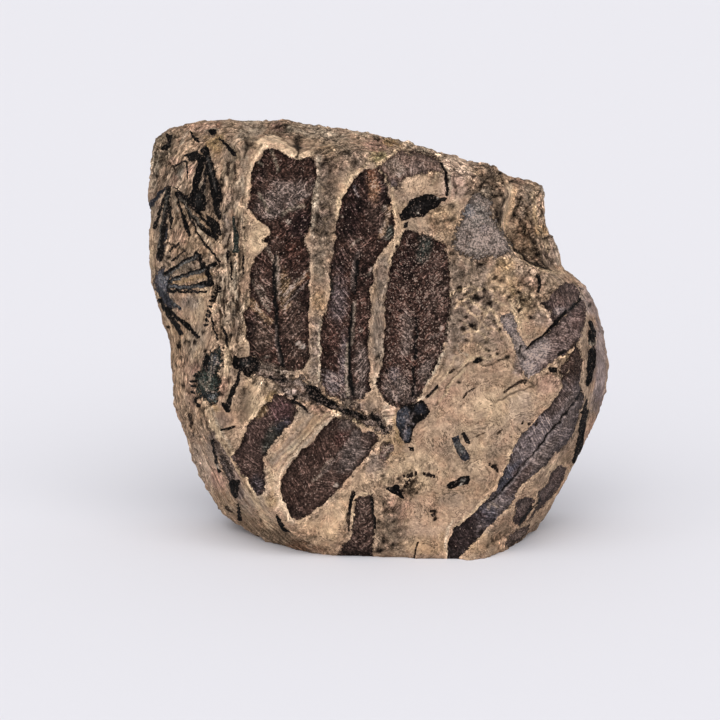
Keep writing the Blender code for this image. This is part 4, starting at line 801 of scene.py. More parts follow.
GLINTS = [
    (300, 345, 2.4, 1.6, 30), (267, 357, 1.6, 1.2, 0), (337.5, 485.5, 1.2, 1.8, 20),
    (361, 331, 1.4, 1.2, 0), (375, 269, 1.6, 1.4, 0), (212, 268, 1.6, 1.0, 30),
    (246, 365, 1.3, 1.0, 0), (220, 466, 2.2, 2.6, -20), (400, 175, 1.4, 1.4, 0),
    (437, 198, 1.0, 1.2, 0), (418, 213, 1.4, 0.9, 0), (342, 216, 1.4, 1.4, 0),
    (461, 485, 1.6, 1.2, 0), (539, 357, 3.2, 1.2, 0), (288, 222, 2.2, 1.4, 20),
    (266, 388, 2.0, 1.4, 0), (359, 150, 3, 1.4, 0), (227, 378, 2.2, 2.4, 0),
    (441, 328, 0.9, 2.0, 0), (230, 466, 1.2, 2.0, 0)]

# How the surface is worked, as soft spots: chart x and y, half width, half height, turn,
# amount.  Rough ground is lumpy, pitted ground has holes, folded ground has upright
# wrinkles and layered ground shows the edges of thin beds.
SMOOTH_GROUND = 0.16
CALM_SPOTS = [
    (258, 237, 12, 17, 15, 0.85), (421, 187, 20, 9, 0, 0.7), (508, 206, 5, 24, 8, 0.8),
    (300, 440, 24, 12, -42, 0.8), (277, 484, 7, 26, -5, 0.8), (248, 485, 7, 44, -28, 0.7),
    (318, 415, 18, 9, 20, 0.5), (253, 180, 6, 30, 5, 0.6), (280, 143, 24, 6, 8, 0.6),
    (603, 365, 6, 50, 0, 0.25), (245, 505, 24, 44, -35, 0.7), (440, 522, 44, 34, 0, 0.7),
    (215, 470, 10, 40, -25, 0.5), (330, 525, 22, 24, 20, 0.7),
    (500, 405, 34, 30, -20, 0.4), (440, 420, 40, 30, 0, 0.3)]
ROUGH_SPOTS = [
    (205, 138, 70, 20, 0, 0.55), (300, 130, 60, 14, 5, 0.75), (400, 142, 70, 13, 12, 0.9),
    (482, 178, 30, 24, 20, 1.0), (330, 200, 12, 60, 0, 0.4), (335, 158, 26, 14, 0, 0.9),
    (530, 220, 30, 55, 0, 0.6), (190, 235, 40, 80, 0, 0.5), (160, 160, 16, 32, 0, 0.9),
    (228, 290, 18, 90, 0, 0.6), (470, 272, 50, 50, 0, 0.5), (530, 292, 30, 26, 0, 0.7),
    (448, 220, 22, 25, 0, 0.45), (275, 378, 40, 14, 15, 0.8), (345, 410, 45, 13, 15, 0.9),
    (300, 395, 30, 14, 0, 0.7), (190, 380, 22, 70, 0, 0.5), (215, 460, 25, 60, -25, 0.5),
    (390, 522, 16, 32, 0, 0.6), (410, 487, 16, 12, 0, 0.8), (560, 360, 24, 20, 0, 0.6),
    (597, 380, 9, 80, 0, 0.2), (240, 515, 40, 16, 20, 0.5), (505, 540, 20, 12, 0, 0.6),
    (206, 385, 20, 30, 0, 0.7), (520, 362, 8, 18, 0, 0.5)]
PIT_SPOTS = [
    (466, 300, 32, 44, 0, 1.0), (500, 284, 24, 20, 0, 0.7), (514, 332, 16, 26, 0, 0.5),
    (450, 258, 20, 14, 0, 0.6), (446, 224, 16, 14, 0, 0.4), (478, 346, 24, 14, 0, 0.5),
    (542, 374, 14, 10, 0, 0.5), (490, 185, 18, 16, 0, 0.6), (410, 486, 12, 10, 0, 0.5)]
FOLD_SPOTS = [
    (230, 240, 12, 50, 0, 0.8), (230, 312, 18, 50, 0, 1.0), (241, 190, 8, 50, 5, 0.6),
    (322, 212, 9, 50, 0, 0.5), (455, 182, 13, 18, 0, 0.7), (212, 380, 16, 36, 0, 0.6),
    (152, 240, 6, 60, 0, 0.5)]
LAYER_SPOTS = [
    (205, 450, 20, 60, -25, 0.5), (225, 490, 34, 30, -30, 0.6), (180, 390, 16, 80, -10, 0.7),
    (285, 536, 44, 14, 20, 0.6)]
# Streaks of the ground: upright ones, and ones that lean to the left at the top
GRAIN_SPOTS = [
    (322, 215, 14, 80, 0, 0.8), (318, 330, 10, 50, 0, 0.7), (380, 300, 9, 90, 0, 0.6),
    (350, 155, 40, 16, 0, 0.9), (228, 280, 26, 130, 0, 0.85), (190, 200, 44, 90, 0, 0.8),
    (460, 290, 50, 60, 0, 0.5), (300, 392, 60, 22, 15, 0.8), (190, 420, 30, 90, -15, 0.5),
    (530, 230, 40, 70, 0, 0.9), (395, 520, 24, 44, 0, 0.7), (566, 365, 24, 24, 0, 0.8),
    (598, 380, 14, 100, 0, 0.4), (545, 300, 40, 30, 0, 0.6), (376, 470, 16, 40, 0, 0.5),
    (445, 230, 24, 40, 0, 0.6), (300, 540, 80, 16, 10, 0.5), (420, 160, 70, 18, 15, 0.8)]
SMOOTH_GRAIN = 0.18
UPRIGHT_SPOTS = [
    (232, 250, 16, 110, 0, 1.0), (378, 320, 10, 70, 0, 0.5),
    (222, 400, 16, 50, 0, 0.7),
    (594, 380, 10, 80, 0, 0.6)]
SLANTED_SPOTS = [
    (180, 210, 36, 60, 0, 0.8), (192, 150, 30, 26, 0, 0.5), (190, 340, 26, 40, 0, 0.9),
    (186, 410, 20, 60, 0, 0.9), (206, 480, 26, 40, 0, 0.8), (255, 400, 18, 26, 0, 0.5)]

# Heights of the relief, in millimetres, and the sizes of its lumps, in metres
LUMP_HEIGHT = 0.80
LUMP_SIZE = 3.8 * MM
GRIT_HEIGHT = 0.30
GRIT_SIZE = 1.5 * MM
PIT_DEPTH = 1.15
PIT_SIZE = 3.3 * MM
FOLD_HEIGHT = 0.55
FOLD_SIZE = 1.5 * MM
FOLD_LENGTH = 8.0
BED_HEIGHT = 0.42
BED_SIZE = 1.1 * MM
FILM_STEP = 0.22
FILM_GRIT = 0.11
SCRAP_HEIGHT = 0.22
STRAND_HEIGHT = 0.20
GROOVE_DEPTH = 0.42
BACK_LUMPS = 0.36
EDGE_WALL = 0.9                     # chart units over which a film's step falls

WOBBLE = 1.7                        # chart units that a drawn edge strays
WOBBLE_SIZE = 2.3 * MM
GOLDEN = 0.618                      # a step that never repeats
SEED_STEP = 37.7                    # how far apart two seeds of noise lie
CLOD_SPLIT = 2.2                    # each finer set of clods is smaller by this
CLOD_FADE = 0.6                     # and lower by this
CLOD_MEAN = 0.40
CLOD_SPREAD = 0.34
HOLLOW_PASSES = 14                  # how wide a hollow is measured against the ground round it
HOLLOW_DEPTH = 0.22                 # millimetres below that ground that count as a full hollow


def smooth_step(low, high, value):
    """0 up to low, 1 from high on, with a smooth rise between."""
    share = np.clip((value - low) / (high - low), 0.0, 1.0)
    return share * share * (3 - 2 * share)


def noise_at(points, size, seed, stretch=(1, 1, 1)):
    """Smooth noise from about -1 to 1 in lumps of this size, longer where stretched."""
    places = points / (size * np.array(stretch)) + SEED_STEP * seed
    return np.array([noise.noise(place) for place in places.tolist()])


def rubble_at(points, size, seed, octaves=3):
    """Broken noise from about -1 to 1, its largest lumps of this size."""
    places = points / size + SEED_STEP * seed
    return np.array([noise.fractal(place, 0.7, 2.1, octaves) for place in places.tolist()])


def clods_at(points, size, seed, octaves=3):
    """Rounded clods with sharp crevices between them, from about -1 in a crevice to 1."""
    total = np.zeros(len(points))
    for step in range(octaves):
        waves = noise_at(points, size / CLOD_SPLIT ** step, seed + step)
        total += CLOD_FADE ** step * np.abs(waves)
    return np.clip((total - CLOD_MEAN) / CLOD_SPREAD, -1.2, 1.6)


def spread_out(values, edges, passes):
    """The values once every point has shared with its neighbours some times."""
    count = np.bincount(edges.ravel(), minlength=len(values))
    for _ in range(passes):
        sums = np.bincount(edges[:, 0], values[edges[:, 1]], len(values))
        sums += np.bincount(edges[:, 1], values[edges[:, 0]], len(values))
        values = 0.5 * (values + sums / count)
    return values


def chart_middle():
    """Metres across and up, in the chart's plane, of the point that the eye faces."""
    return (CHART_MIDDLE[0] - CHART_X) * UNIT, (CHART_Y - CHART_MIDDLE[1]) * UNIT


def chart_places(points):
    """Chart x, chart y and depth behind the chart in metres, for points of the frame."""
    away = points[:, 1] - ORIGIN[1]
    up = away * math.sin(LEAN) + points[:, 2] * math.cos(LEAN)
    depth = away * math.cos(LEAN) - points[:, 2] * math.sin(LEAN)
    flare = 1 + depth / EYE_DISTANCE
    middle = chart_middle()
    across = middle[0] + (points[:, 0] - ORIGIN[0] - middle[0]) / flare
    height = middle[1] + (up - middle[1]) / flare
    return np.column_stack((CHART_X + across / UNIT, CHART_Y - height / UNIT, depth))


def inside(spots, outline):
    """Which chart places lie inside a closed outline."""
    hits = np.zeros(len(spots), bool)
    for (x0, y0), (x1, y1) in zip(outline, outline[1:] + outline[:1]):
        if y0 == y1:
            continue
        spans = (y0 > spots[:, 1]) != (y1 > spots[:, 1])
        hits ^= spans & (spots[:, 0] < x0 + (spots[:, 1] - y0) * (x1 - x0) / (y1 - y0))
    return hits


def line_measures(spots, line):
    """How far each chart place is from a line, right of it above 0, and the length to there."""
    nearest = np.full(len(spots), np.inf)
    along = np.zeros(len(spots))
    side = np.ones(len(spots))
    run = 0.0
    for start, end in zip(np.array(line[:-1], float), np.array(line[1:], float)):
        step = end - start
        length = np.hypot(*step)
        share = np.clip((spots - start) @ step / length ** 2, 0, 1)
        gap = np.hypot(*(spots - start - share[:, None] * step).T)
        closer = gap < nearest
        nearest[closer] = gap[closer]
        along[closer] = run + share[closer] * length
        right = (spots - start) @ (-step[1], step[0])
        side[closer] = np.where(right[closer] < 0, -1, 1)
        run += length
    return nearest, side, along, run


def near_spots(places, points, reach):
    """Which chart places lie within reach of the box round some points."""
    corners = np.array(points, float)
    low = corners.min(axis=0) - reach
    high = corners.max(axis=0) + reach
    return ((places[:, :2] > low) & (places[:, :2] < high)).all(axis=1)


def outline_gap(places, outline):
    """Chart units from a closed outline, below 0 inside it."""
    gap = np.full(len(places), FAR)
    near = near_spots(places, outline, FAR)
    spots = places[near, :2]
    edge = line_measures(spots, outline + outline[:1])[0]
    gap[near] = np.where(inside(spots, outline), -edge, edge)
    return gap


def strand_gap(places, line, start_width, end_width):
    """Chart units from the side of a tapering line, below 0 inside it."""
    gap = np.full(len(places), FAR)
    near = near_spots(places, line, FAR)
    distance, side, along, run = line_measures(places[near, :2], line)
    gap[near] = distance - (start_width + (end_width - start_width) * along / run)
    return gap


def spot_share(places, ragged, x, y, half_width, half_height, turn):
    """1 in the middle of a soft ragged oval, falling to 0 outside it."""
    angle = math.radians(turn)
    right, down = places[:, 0] - x, places[:, 1] - y
    u = (right * math.cos(angle) + down * math.sin(angle)) / half_width
    v = (down * math.cos(angle) - right * math.sin(angle)) / half_height
    return smooth_step(1.25, 0.55, np.hypot(u, v) + ragged)


def blend(colours, new_tone, share):
    """Move each colour towards a tone by its share."""
    colours += (new_tone - colours) * share[:, None]


def read(items, name, width):
    """One property of every item, as an array."""
    flat = np.empty(len(items) * width, np.float32)
    items.foreach_get(name, flat)
    return flat.reshape(-1, width).astype(float) if width > 1 else flat


def choose(piece):
    """Make one object the only chosen and active one."""
    bpy.ops.object.select_all(action="DESELECT")
    piece.select_set(True)
    bpy.context.view_layer.objects.active = piece


def finish(piece, kind, **settings):
    """Add a modifier with its settings and apply it."""
    step = piece.modifiers.new(kind.lower(), kind)
    for name, value in settings.items():
        setattr(step, name, value)
    choose(piece)
    bpy.ops.object.modifier_apply(modifier=step.name)


def merged_copy():
    """A new object with the solid's own mesh, its loose triangles merged."""
    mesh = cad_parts[NODE].data.copy()
    mesh.materials.clear()
    block = bpy.data.objects.new("fern_stone", mesh)
    bpy.context.scene.collection.objects.link(block)
    choose(block)
    bpy.ops.object.mode_set(mode="EDIT")
    bpy.ops.mesh.select_all(action="SELECT")
    bpy.ops.mesh.remove_doubles(threshold=0.01 * MM)
    bpy.ops.object.mode_set(mode="OBJECT")
    return block


def halve_faces(block, wanted):
    """Cut every face that has a wanted point into faces of half the size."""
    mesh = block.data
    corners = read(mesh.loops, "vertex_index", 1).astype(int)
    edges = read(mesh.loops, "edge_index", 1).astype(int)
    owners = np.repeat(np.arange(len(mesh.polygons)), read(mesh.polygons, "loop_total", 1).astype(int))
    faces = np.zeros(len(mesh.polygons), bool)
    faces[owners[wanted[corners]]] = True
    cut = faces[owners]
    points = np.zeros(len(mesh.vertices), bool)
    points[corners[cut]] = True
    sides = np.zeros(len(mesh.edges), bool)
    sides[edges[cut]] = True
    mesh.vertices.foreach_set("select", points)
    mesh.edges.foreach_set("select", sides)
    mesh.polygons.foreach_set("select", faces)
    bpy.context.tool_settings.mesh_select_mode = (False, False, True)
    choose(block)
    bpy.ops.object.mode_set(mode="EDIT")
    bpy.ops.mesh.subdivide(number_cuts=1, ngon=False)
    bpy.ops.object.mode_set(mode="OBJECT")


def facing_eye(mesh):
    """How squarely each point faces the eye, from 1 down to -1 at the back."""
    normals = read(mesh.vertex_normals, "vector", 3)
    return normals @ np.array((0, -math.cos(LEAN), math.sin(LEAN)))


def wobbled(places, points, amount):
    """Chart places moved a little each way, so that drawn edges don't run straight."""
    moved = places.copy()
    moved[:, 0] += amount * WOBBLE * noise_at(points, WOBBLE_SIZE, 1)
    moved[:, 1] += amount * WOBBLE * noise_at(points, WOBBLE_SIZE, 2)
    return moved


def least_gap(places, outlines):
    """Chart units from the nearest of some outlines."""
    return np.minimum.reduce([outline_gap(places, outline) for outline in outlines])


def film_gaps(places, ragged):
    """Chart units from each leaf film, ragged ones strayed by the noise."""
    return [outline_gap(places, film[0]) + film[4] * ragged for film in FILMS]


def black_gaps(places):
    """Chart units from the black scraps, the black strands and the dark grooves."""
    scraps = least_gap(places, [outline for outline, ink in SCRAPS])
    strands = np.minimum.reduce([strand_gap(places, *strand[:3]) for strand in STRANDS + joints()])
    grooves = np.minimum.reduce([strand_gap(places, *groove[:3]) for groove in GROOVES])
    return scraps, strands, grooves


def joints():
    """Short strands across the way of each chain."""
    made = []
    for (x0, y0), (x1, y1), count, half_width, ink in CHAINS:
        length = math.hypot(x1 - x0, y1 - y0)
        side_x, side_y = -(y1 - y0) / length * half_width, (x1 - x0) / length * half_width
        for number in range(count):
            share = number / (count - 1)
            x, y = x0 + (x1 - x0) * share, y0 + (y1 - y0) * share
            left = 0.6 + 0.8 * (number * GOLDEN % 1)
            right = 1.6 - left
            line = [(x - side_x * left, y - side_y * left - 0.5), (x + side_x * right, y + side_y * right)]
            made.append((line, 0.6 + 0.6 * right, 0.6 + 0.6 * left, ink))
    return made


def fine_points(block):
    """Points that lie close to a drawn edge or a thin line of the face."""
    points = read(block.data.vertices, "co", 3)
    places = wobbled(chart_places(points), points, 1.0)
    films = np.minimum.reduce([np.abs(outline_gap(places, film[0])) for film in FILMS])
    scraps, strands, grooves = black_gaps(places)
    thin = [strand_gap(places, line, width, width) for line, width, *_ in
            STONE_STROKES + FILM_STROKES if width < THIN]
    near = np.minimum.reduce([films, np.abs(scraps), strands, grooves] + thin) < FINE_REACH
    return near & (facing_eye(block.data) > 0)


def shape_block():
    """The finished mesh before it is carved: fine on the face, finest at drawn edges."""
    block = merged_copy()
    finish(block, "REMESH", mode="VOXEL", voxel_size=VOXEL)
    halve_faces(block, facing_eye(block.data) > FACE_LIMIT)
    halve_faces(block, fine_points(block))
    foot = read(block.data.vertices, "co", 3)[:, 2] < FOOT
    finish(block, "SMOOTH", factor=0.5, iterations=SMOOTHING)
    return block, foot


THIN = 1.3                          # half width, in chart units, that needs the finest cells
FACE_LIMIT = 0.12                   # points that face the eye less than this stay coarse


def most_share(places, ragged, spots):
    """The strongest of some soft spots at each place, from 0 to their amounts."""
    amount = np.zeros(len(places))
    for *spot, strength in spots:
        amount = np.maximum(amount, strength * spot_share(places, ragged, *spot))
    return amount


def pits_at(points, size, seed):
    """Round holes of random width: 1 at the bottom of each, 0 between them."""
    depths = []
    for place in (points / size + SEED_STEP * seed).tolist():
        gaps, sites = noise.voronoi(place)
        width = PIT_LEAST + (PIT_MOST - PIT_LEAST) * abs(noise.noise(sites[0] * PIT_SPREAD))
        depths.append(1 - gaps[0] / width)
    return smooth_step(0.0, 0.5, np.array(depths))


def folds_at(points):
    """Upright wavy wrinkles, from -1 in their furrows to 1."""
    bent = points.copy()
    bent[:, 0] += 1.3 * MM * noise_at(points, 7 * MM, 11)
    return 1 - 3.2 * np.abs(noise_at(bent, FOLD_SIZE, 12, (1, 1, FOLD_LENGTH)))


def beds_at(points, depth):
    """Edges of the thin beds of the stone, from about -1 to 1."""
    level = depth + (0.9 * noise_at(points, 14 * MM, 13) + 0.25 * noise_at(points, 4 * MM, 14)) * MM
    flat = np.column_stack((points[:, :2] / BED_RUN, level))
    return 1.6 * noise_at(flat, BED_SIZE, 15)


def leaf_outline(x, y, length, width, turn, count=18):
    """A lens-shaped leaf on the chart, its middle at x and y."""
    angle = math.radians(turn)
    outline = []
    for number in range(count):
        way = 2 * math.pi * number / count
        along = math.cos(way) * length / 2
        across = math.sin(way) * abs(math.sin(way)) ** 0.3 * width / 2
        outline.append((x + along * math.cos(angle) - across * math.sin(angle),
                        y + along * math.sin(angle) + across * math.cos(angle)))
    return outline


class Survey:
    """What the carving and the painting both need to know about the block's points."""

    def __init__(self, block):
        mesh = block.data
        self.points = read(mesh.vertices, "co", 3)
        self.normals = read(mesh.vertex_normals, "vector", 3)
        self.facing = facing_eye(mesh)
        self.seen = smooth_step(-0.02, 0.18, self.facing)
        self.behind = smooth_step(-0.25, -0.5, self.facing)
        self.places = chart_places(self.points)
        self.depth = self.places[:, 2]
        self.drawn = wobbled(self.places, self.points, 1.0)
        self.lumps = rubble_at(self.points, LUMP_SIZE, 21)
        self.clods = clods_at(self.points, LUMP_SIZE, 51)
        self.grit = rubble_at(self.points, GRIT_SIZE, 22, 2)
        self.broad = noise_at(self.points, 15 * MM, 23)
        self.patchy = noise_at(self.points, 6 * MM, 24)
        self.ragged = 0.22 * self.lumps + 0.14 * self.grit
        self.folds = folds_at(self.points)
        self.beds = beds_at(self.points, self.depth)
        self.pits = pits_at(self.points, PIT_SIZE, 25)
        self.measure_films()
        self.measure_ground()

    def measure_films(self):
        """Distances from the films and the black pieces, in chart units."""
        stray = self.grit * 0.6 + self.lumps * 0.5
        self.each_film = film_gaps(self.drawn, stray)
        front = np.minimum.reduce(self.each_film)
        backs = [outline_gap(self.drawn, leaf_outline(*leaf)) + 9 * stray for leaf in BACK_LEAVES]
        back = np.minimum.reduce(backs)
        unseen = self.seen < 0.5
        rear = np.where(self.behind > 0.5, back, FAR)
        self.film = np.where(unseen, rear, front)
        self.scraps, self.strands, self.grooves = [
            np.where(unseen, FAR, gap) for gap in black_gaps(self.drawn)]
        nearest = np.argmin(self.each_film, axis=0)
        self.tear = np.array([film[5] for film in FILMS])[nearest]
        self.calm = np.array([film[3] for film in FILMS])[nearest]
        for *spot, tear in SOFT_EDGES:
            self.tear += (tear - self.tear) * spot_share(self.places, self.ragged, *spot)
        self.tear[unseen] = BACK_TEAR
        self.is_film = smooth_step(EDGE_WALL, -EDGE_WALL, self.film)
        self.is_film *= smooth_step(SOFT_TEAR, CRISP_TEAR, self.tear)

    def measure_ground(self):
        """How rough, pitted, folded and layered the ground is."""
        seen, unseen = self.seen, 1 - self.seen
        spots = [most_share(self.places, self.ragged, table) for table in
                 (ROUGH_SPOTS, PIT_SPOTS, FOLD_SPOTS, LAYER_SPOTS, UPRIGHT_SPOTS, SLANTED_SPOTS,
                  GRAIN_SPOTS)]
        self.rough = seen * np.maximum(spots[0], SMOOTH_GROUND) + unseen * BACK_LUMPS
        self.rough *= 1 - 0.65 * self.is_film
        self.pitted = seen * spots[1] + 0.25 * unseen
        self.folded = seen * spots[2] * (1 - self.is_film)
        edge_on = smooth_step(0.92, 0.7, np.abs(self.facing))
        self.layered = seen * spots[3] + unseen * edge_on
        self.upright = seen * spots[4]
        self.slanted = seen * spots[5] + 0.4 * unseen
        self.grainy = seen * np.maximum(np.maximum(spots[6], SMOOTH_GRAIN), self.rough) + 0.6 * unseen
        kept_rough = 1 - seen * most_share(self.places, self.ragged, CALM_SPOTS)
        self.rough *= kept_rough
        self.grainy *= kept_rough


BACK_LEAVES = [
    (290, 300, 210, 60, 74), (440, 240, 120, 46, 112), (480, 430, 90, 34, 40)]
BACK_TEAR = 4.2
PIT_LEAST = 0.08                    # widths of the pits, as shares of their spacing
PIT_MOST = 0.75
PIT_SPREAD = 9.1
BED_RUN = 30.0                      # how much longer than thick the edge of a bed is


def carve(block, foot):
    """Move the points out or in, along the surface's own normals."""
    survey = Survey(block)
    stone = 1 - survey.is_film
    lift = LUMP_HEIGHT * survey.rough * survey.clods
    lift += GRIT_HEIGHT * (0.25 + 0.75 * survey.rough) * survey.grit * stone
    lift -= PIT_DEPTH * survey.pitted * survey.pits * stone
    lift += FOLD_HEIGHT * survey.folded * survey.folds
    lift += BED_HEIGHT * survey.layered * survey.beds
    lift += FILM_GRIT * survey.is_film * noise_at(survey.points, 0.9 * MM, 26)
    lift += SCRAP_HEIGHT * smooth_step(0.8, -0.8, survey.scraps) * (1 + 0.8 * survey.grit)
    lift += STRAND_HEIGHT * smooth_step(0.8, -0.8, survey.strands) * (1 + 0.8 * survey.grit)
    lift -= GROOVE_DEPTH * smooth_step(1.0, -0.6, survey.grooves)
    sunk = lift - FILM_STEP * survey.is_film
    points = survey.points + survey.normals * (sunk * MM)[:, None]
    points[:, 2] = np.maximum(points[:, 2], 0)
    points[foot] = survey.points[foot] * (1, 1, 0)
    block.data.vertices.foreach_set("co", points.astype(np.float32).ravel())
    block.data.update()
    edges = read(block.data.edges, "vertices", 2).astype(int)
    # How far each point lies below the ground round it; the material paints shade in these hollows and highlight on the
    # rises from it.
    survey.hollow = (spread_out(lift, edges, HOLLOW_PASSES) - lift) / HOLLOW_DEPTH
    return survey


def paint_spots(colours, survey, spots, live):
    for *spot, new_tone, strength in spots:
        share = strength * spot_share(survey.places, 1.6 * survey.ragged, *spot)
        blend(colours, new_tone, share * live)


def paint_strokes(colours, survey, strokes, live):
    for line, half_width, new_tone, strength in strokes:
        gap = strand_gap(survey.drawn, line, half_width, half_width)
        share = strength * smooth_step(0.9, -0.6, gap + (0.6 + half_width) * survey.ragged)
        blend(colours, new_tone, share * live)


def stone_tones_and_shading(survey):
    """The stone's own colour, with painted shade in its carved lows and painted highlight on risen bed edges."""
    colours = np.tile(TAN, (len(survey.points), 1))
    hidden = 1 - survey.seen
    blend(colours, GRAY_TAN, 0.4 * smooth_step(-0.2, 0.5, survey.broad))
    blend(colours, WARM_TAN, 0.4 * smooth_step(0.0, 0.6, survey.patchy))
    blend(colours, GRAY_TAN, 0.45 * hidden)
    blend(colours, OLIVE_GRAY, 0.6 * hidden * smooth_step(0.1, 0.6, -survey.broad))
    blend(colours, PINK_TAN, 0.5 * hidden * smooth_step(0.1, 0.6, -survey.patchy))
    paint_spots(colours, survey, STONE_SPOTS, survey.seen)
    # Painted shade where the carved relief is low: crevices between clods, furrows of the folds, low bed edges and
    # pits. Bed edges that rise are painted paler, as highlight.
    blend(colours, DARK_BROWN, 0.55 * survey.rough * smooth_step(0.2, -1.0, survey.clods))
    blend(colours, DARK_BROWN, 0.60 * survey.folded * smooth_step(0.25, -0.8, survey.folds))
    blend(colours, BROWN, 0.55 * survey.layered * smooth_step(0.1, -0.7, survey.beds))
    blend(colours, PALE_TAN, 0.30 * survey.layered * smooth_step(0.1, 0.7, survey.beds))
    blend(colours, DEEP_BROWN, 0.90 * survey.pitted * survey.pits)
    paint_strokes(colours, survey, STONE_STROKES, survey.seen)
    for x, y, half_width, half_height, turn in STONE_TICKS:
        share = spot_share(survey.drawn, survey.ragged, x, y, half_width + 0.9,
                           half_height + 0.9, turn)
        blend(colours, BLACK_BROWN, share * survey.seen)
    return colours


def film_tones_and_sheen(survey):
    """The films' and the black pieces' own colour with painted sheen in places, and how much grit shows on them."""
    colours = np.tile(UMBER, (len(survey.points), 1))
    grit = np.full(len(survey.points), 0.5)
    for gap, (outline, ground, amount, calm, stray, tear) in zip(survey.each_film, FILMS):
        reach = 2.5 + 0.9 * tear
        here = smooth_step(reach, 0.5 * reach, gap) * survey.seen
        blend(colours, ground, here)
        grit += (amount - grit) * here
    paint_spots(colours, survey, FILM_SPOTS, survey.seen)
    for outline, ink in SCRAPS:
        blend(colours, ink, smooth_step(1.6, 0.2, outline_gap(survey.drawn, outline)) * survey.seen)
    for line, start_width, end_width, ink in GROOVES + STRANDS + joints():
        gap = strand_gap(survey.drawn, line, start_width, end_width)
        blend(colours, ink, smooth_step(1.2, 0.2, gap) * survey.seen)
    paint_spots(colours, survey, BLACK_SPOTS, survey.seen * (survey.scraps < 1))
    paint_strokes(colours, survey, FILM_STROKES, survey.seen)
    for x, y, half_width, half_height, turn in GLINTS:
        share = spot_share(survey.drawn, survey.ragged, x, y, half_width, half_height, turn)
        blend(colours, GLINT_TONE, 0.8 * share * survey.seen)
    return colours, grit


def vein_runs(survey):
    """How many veins lie between each point and the tip of its leaf, and the way to its midrib."""
    runs = survey.places[:, 0] * UNIT_MM
    reaches = survey.places[:, 1] * UNIT_MM / VEIN_LENGTH
    for outline, line, slope, spacing in MIDRIBS:
        here = outline_gap(survey.drawn, outline) < 2.0
        across, side, along, length = line_measures(survey.places[here, :2], line)
        runs[here] = (along + slope * across) * UNIT_MM / spacing
        reaches[here] = side * across * UNIT_MM
    return runs, reaches


def write_number(mesh, name, values):
    mesh.attributes.new(name, "FLOAT", "POINT").data.foreach_set("value", values.astype(np.float32))


def write_colour(mesh, name, colours):
    full = np.column_stack((np.clip(colours, 0, 1), np.ones(len(colours))))
    mesh.attributes.new(name, "FLOAT_COLOR", "POINT").data.foreach_set(
        "color", full.astype(np.float32).ravel())


def paint(block, survey):
    """Keep on each point what the material reads there."""
    mesh = block.data
    film, grit = film_tones_and_sheen(survey)
    write_colour(mesh, "stone_tone_and_shading", stone_tones_and_shading(survey))
    write_colour(mesh, "film_tone_and_sheen", film)
    write_number(mesh, "film_gap", survey.film * UNIT_MM)
    write_number(mesh, "film_tear", survey.tear)
    write_number(mesh, "black_gap", np.minimum.reduce(
        [survey.scraps, survey.strands, survey.grooves]) * UNIT_MM - BLACK_SWELL)
    write_number(mesh, "grainy", survey.grainy)
    write_number(mesh, "upright", survey.upright)
    write_number(mesh, "slanted", survey.slanted)
    write_number(mesh, "hollow", survey.hollow)
    write_number(mesh, "grit", grit)
    write_number(mesh, "calm", survey.calm)
    runs, reaches = vein_runs(survey)
    write_number(mesh, "vein_run", runs)
    write_number(mesh, "vein_reach", reaches)
    write_number(mesh, "bed", survey.depth / MM + 0.9 * survey.broad)
    write_number(mesh, "layered", survey.layered)


def add_node(tree, kind, inputs=(), **settings):
    """A node with its settings, its sockets linked or given values by name or number."""
    made = tree.nodes.new(kind)
    for name, value in settings.items():
        setattr(made, name, value)
    for socket, value in dict(inputs).items():
        if isinstance(value, bpy.types.NodeSocket):
            tree.links.new(value, made.inputs[socket])
        else:
            made.inputs[socket].default_value = value
    return made


def maths(tree, operation, *values):
    """A sum, a product or another operation on numbers and sockets."""
    return add_node(tree, "ShaderNodeMath", enumerate(values), operation=operation).outputs[0]


def ramp(tree, value, low, high, first=0.0, last=1.0):
    """A smooth rise or fall from the first value to the last."""
    spread = {"Value": value, "From Min": low, "From Max": high, "To Min": first, "To Max": last}
    return add_node(tree, "ShaderNodeMapRange", spread, interpolation_type="SMOOTHSTEP").outputs[0]


def mixed(tree, share, first, second, way="MIX"):
    """Two colours mixed by a share."""
    made = add_node(tree, "ShaderNodeMix", {0: share, 6: first, 7: second}, data_type="RGBA",
                    blend_type=way)
    return made.outputs[2]


def shaded(tree, colour, shade):
    """A colour made lighter or darker by a number."""
    made = add_node(tree, "ShaderNodeVectorMath", {0: colour, 3: shade}, operation="SCALE")
    return made.outputs[0]


def lumps(tree, place, size, detail=2.0, harshness=0.5, bend=0.0):
    """Noise from 0 to 1 in lumps of a size in metres."""
    made = add_node(tree, "ShaderNodeTexNoise", {
        "Vector": place, "Scale": 1 / size, "Detail": detail, "Roughness": harshness,
        "Distortion": bend})
    return made.outputs["Fac"]


def new_group(name, inputs, outputs):
    """A node group with named sockets; gives its tree, its inputs and its outputs."""
    tree = bpy.data.node_groups.new(name, "ShaderNodeTree")
    for label, kind in inputs:
        tree.interface.new_socket(label, in_out="INPUT", socket_type="NodeSocket" + kind)
    for label in outputs:
        tree.interface.new_socket(label, in_out="OUTPUT", socket_type="NodeSocketFloat")
    return tree, tree.nodes.new("NodeGroupInput").outputs, tree.nodes.new("NodeGroupOutput").inputs


def stretched(tree, place, turn, length):
    """Coordinates in which a pattern grows longer upright, or along a turned upright."""
    made = add_node(tree, "ShaderNodeMapping", {
        "Vector": place, "Rotation": (0, turn, 0), "Scale": (1, 1, length)}, vector_type="TEXTURE")
    return made.outputs[0]


def either(tree, share, first, second):
    """Coordinates between two others."""
    return add_node(tree, "ShaderNodeMix", {0: share, 4: first, 5: second},
                    data_type="VECTOR").outputs[1]


def swung(tree, value, strength):
    """How far a number from 0 to 1 lies from its middle, times a strength."""
    return maths(tree, "MULTIPLY", maths(tree, "SUBTRACT", value, 0.5), strength)


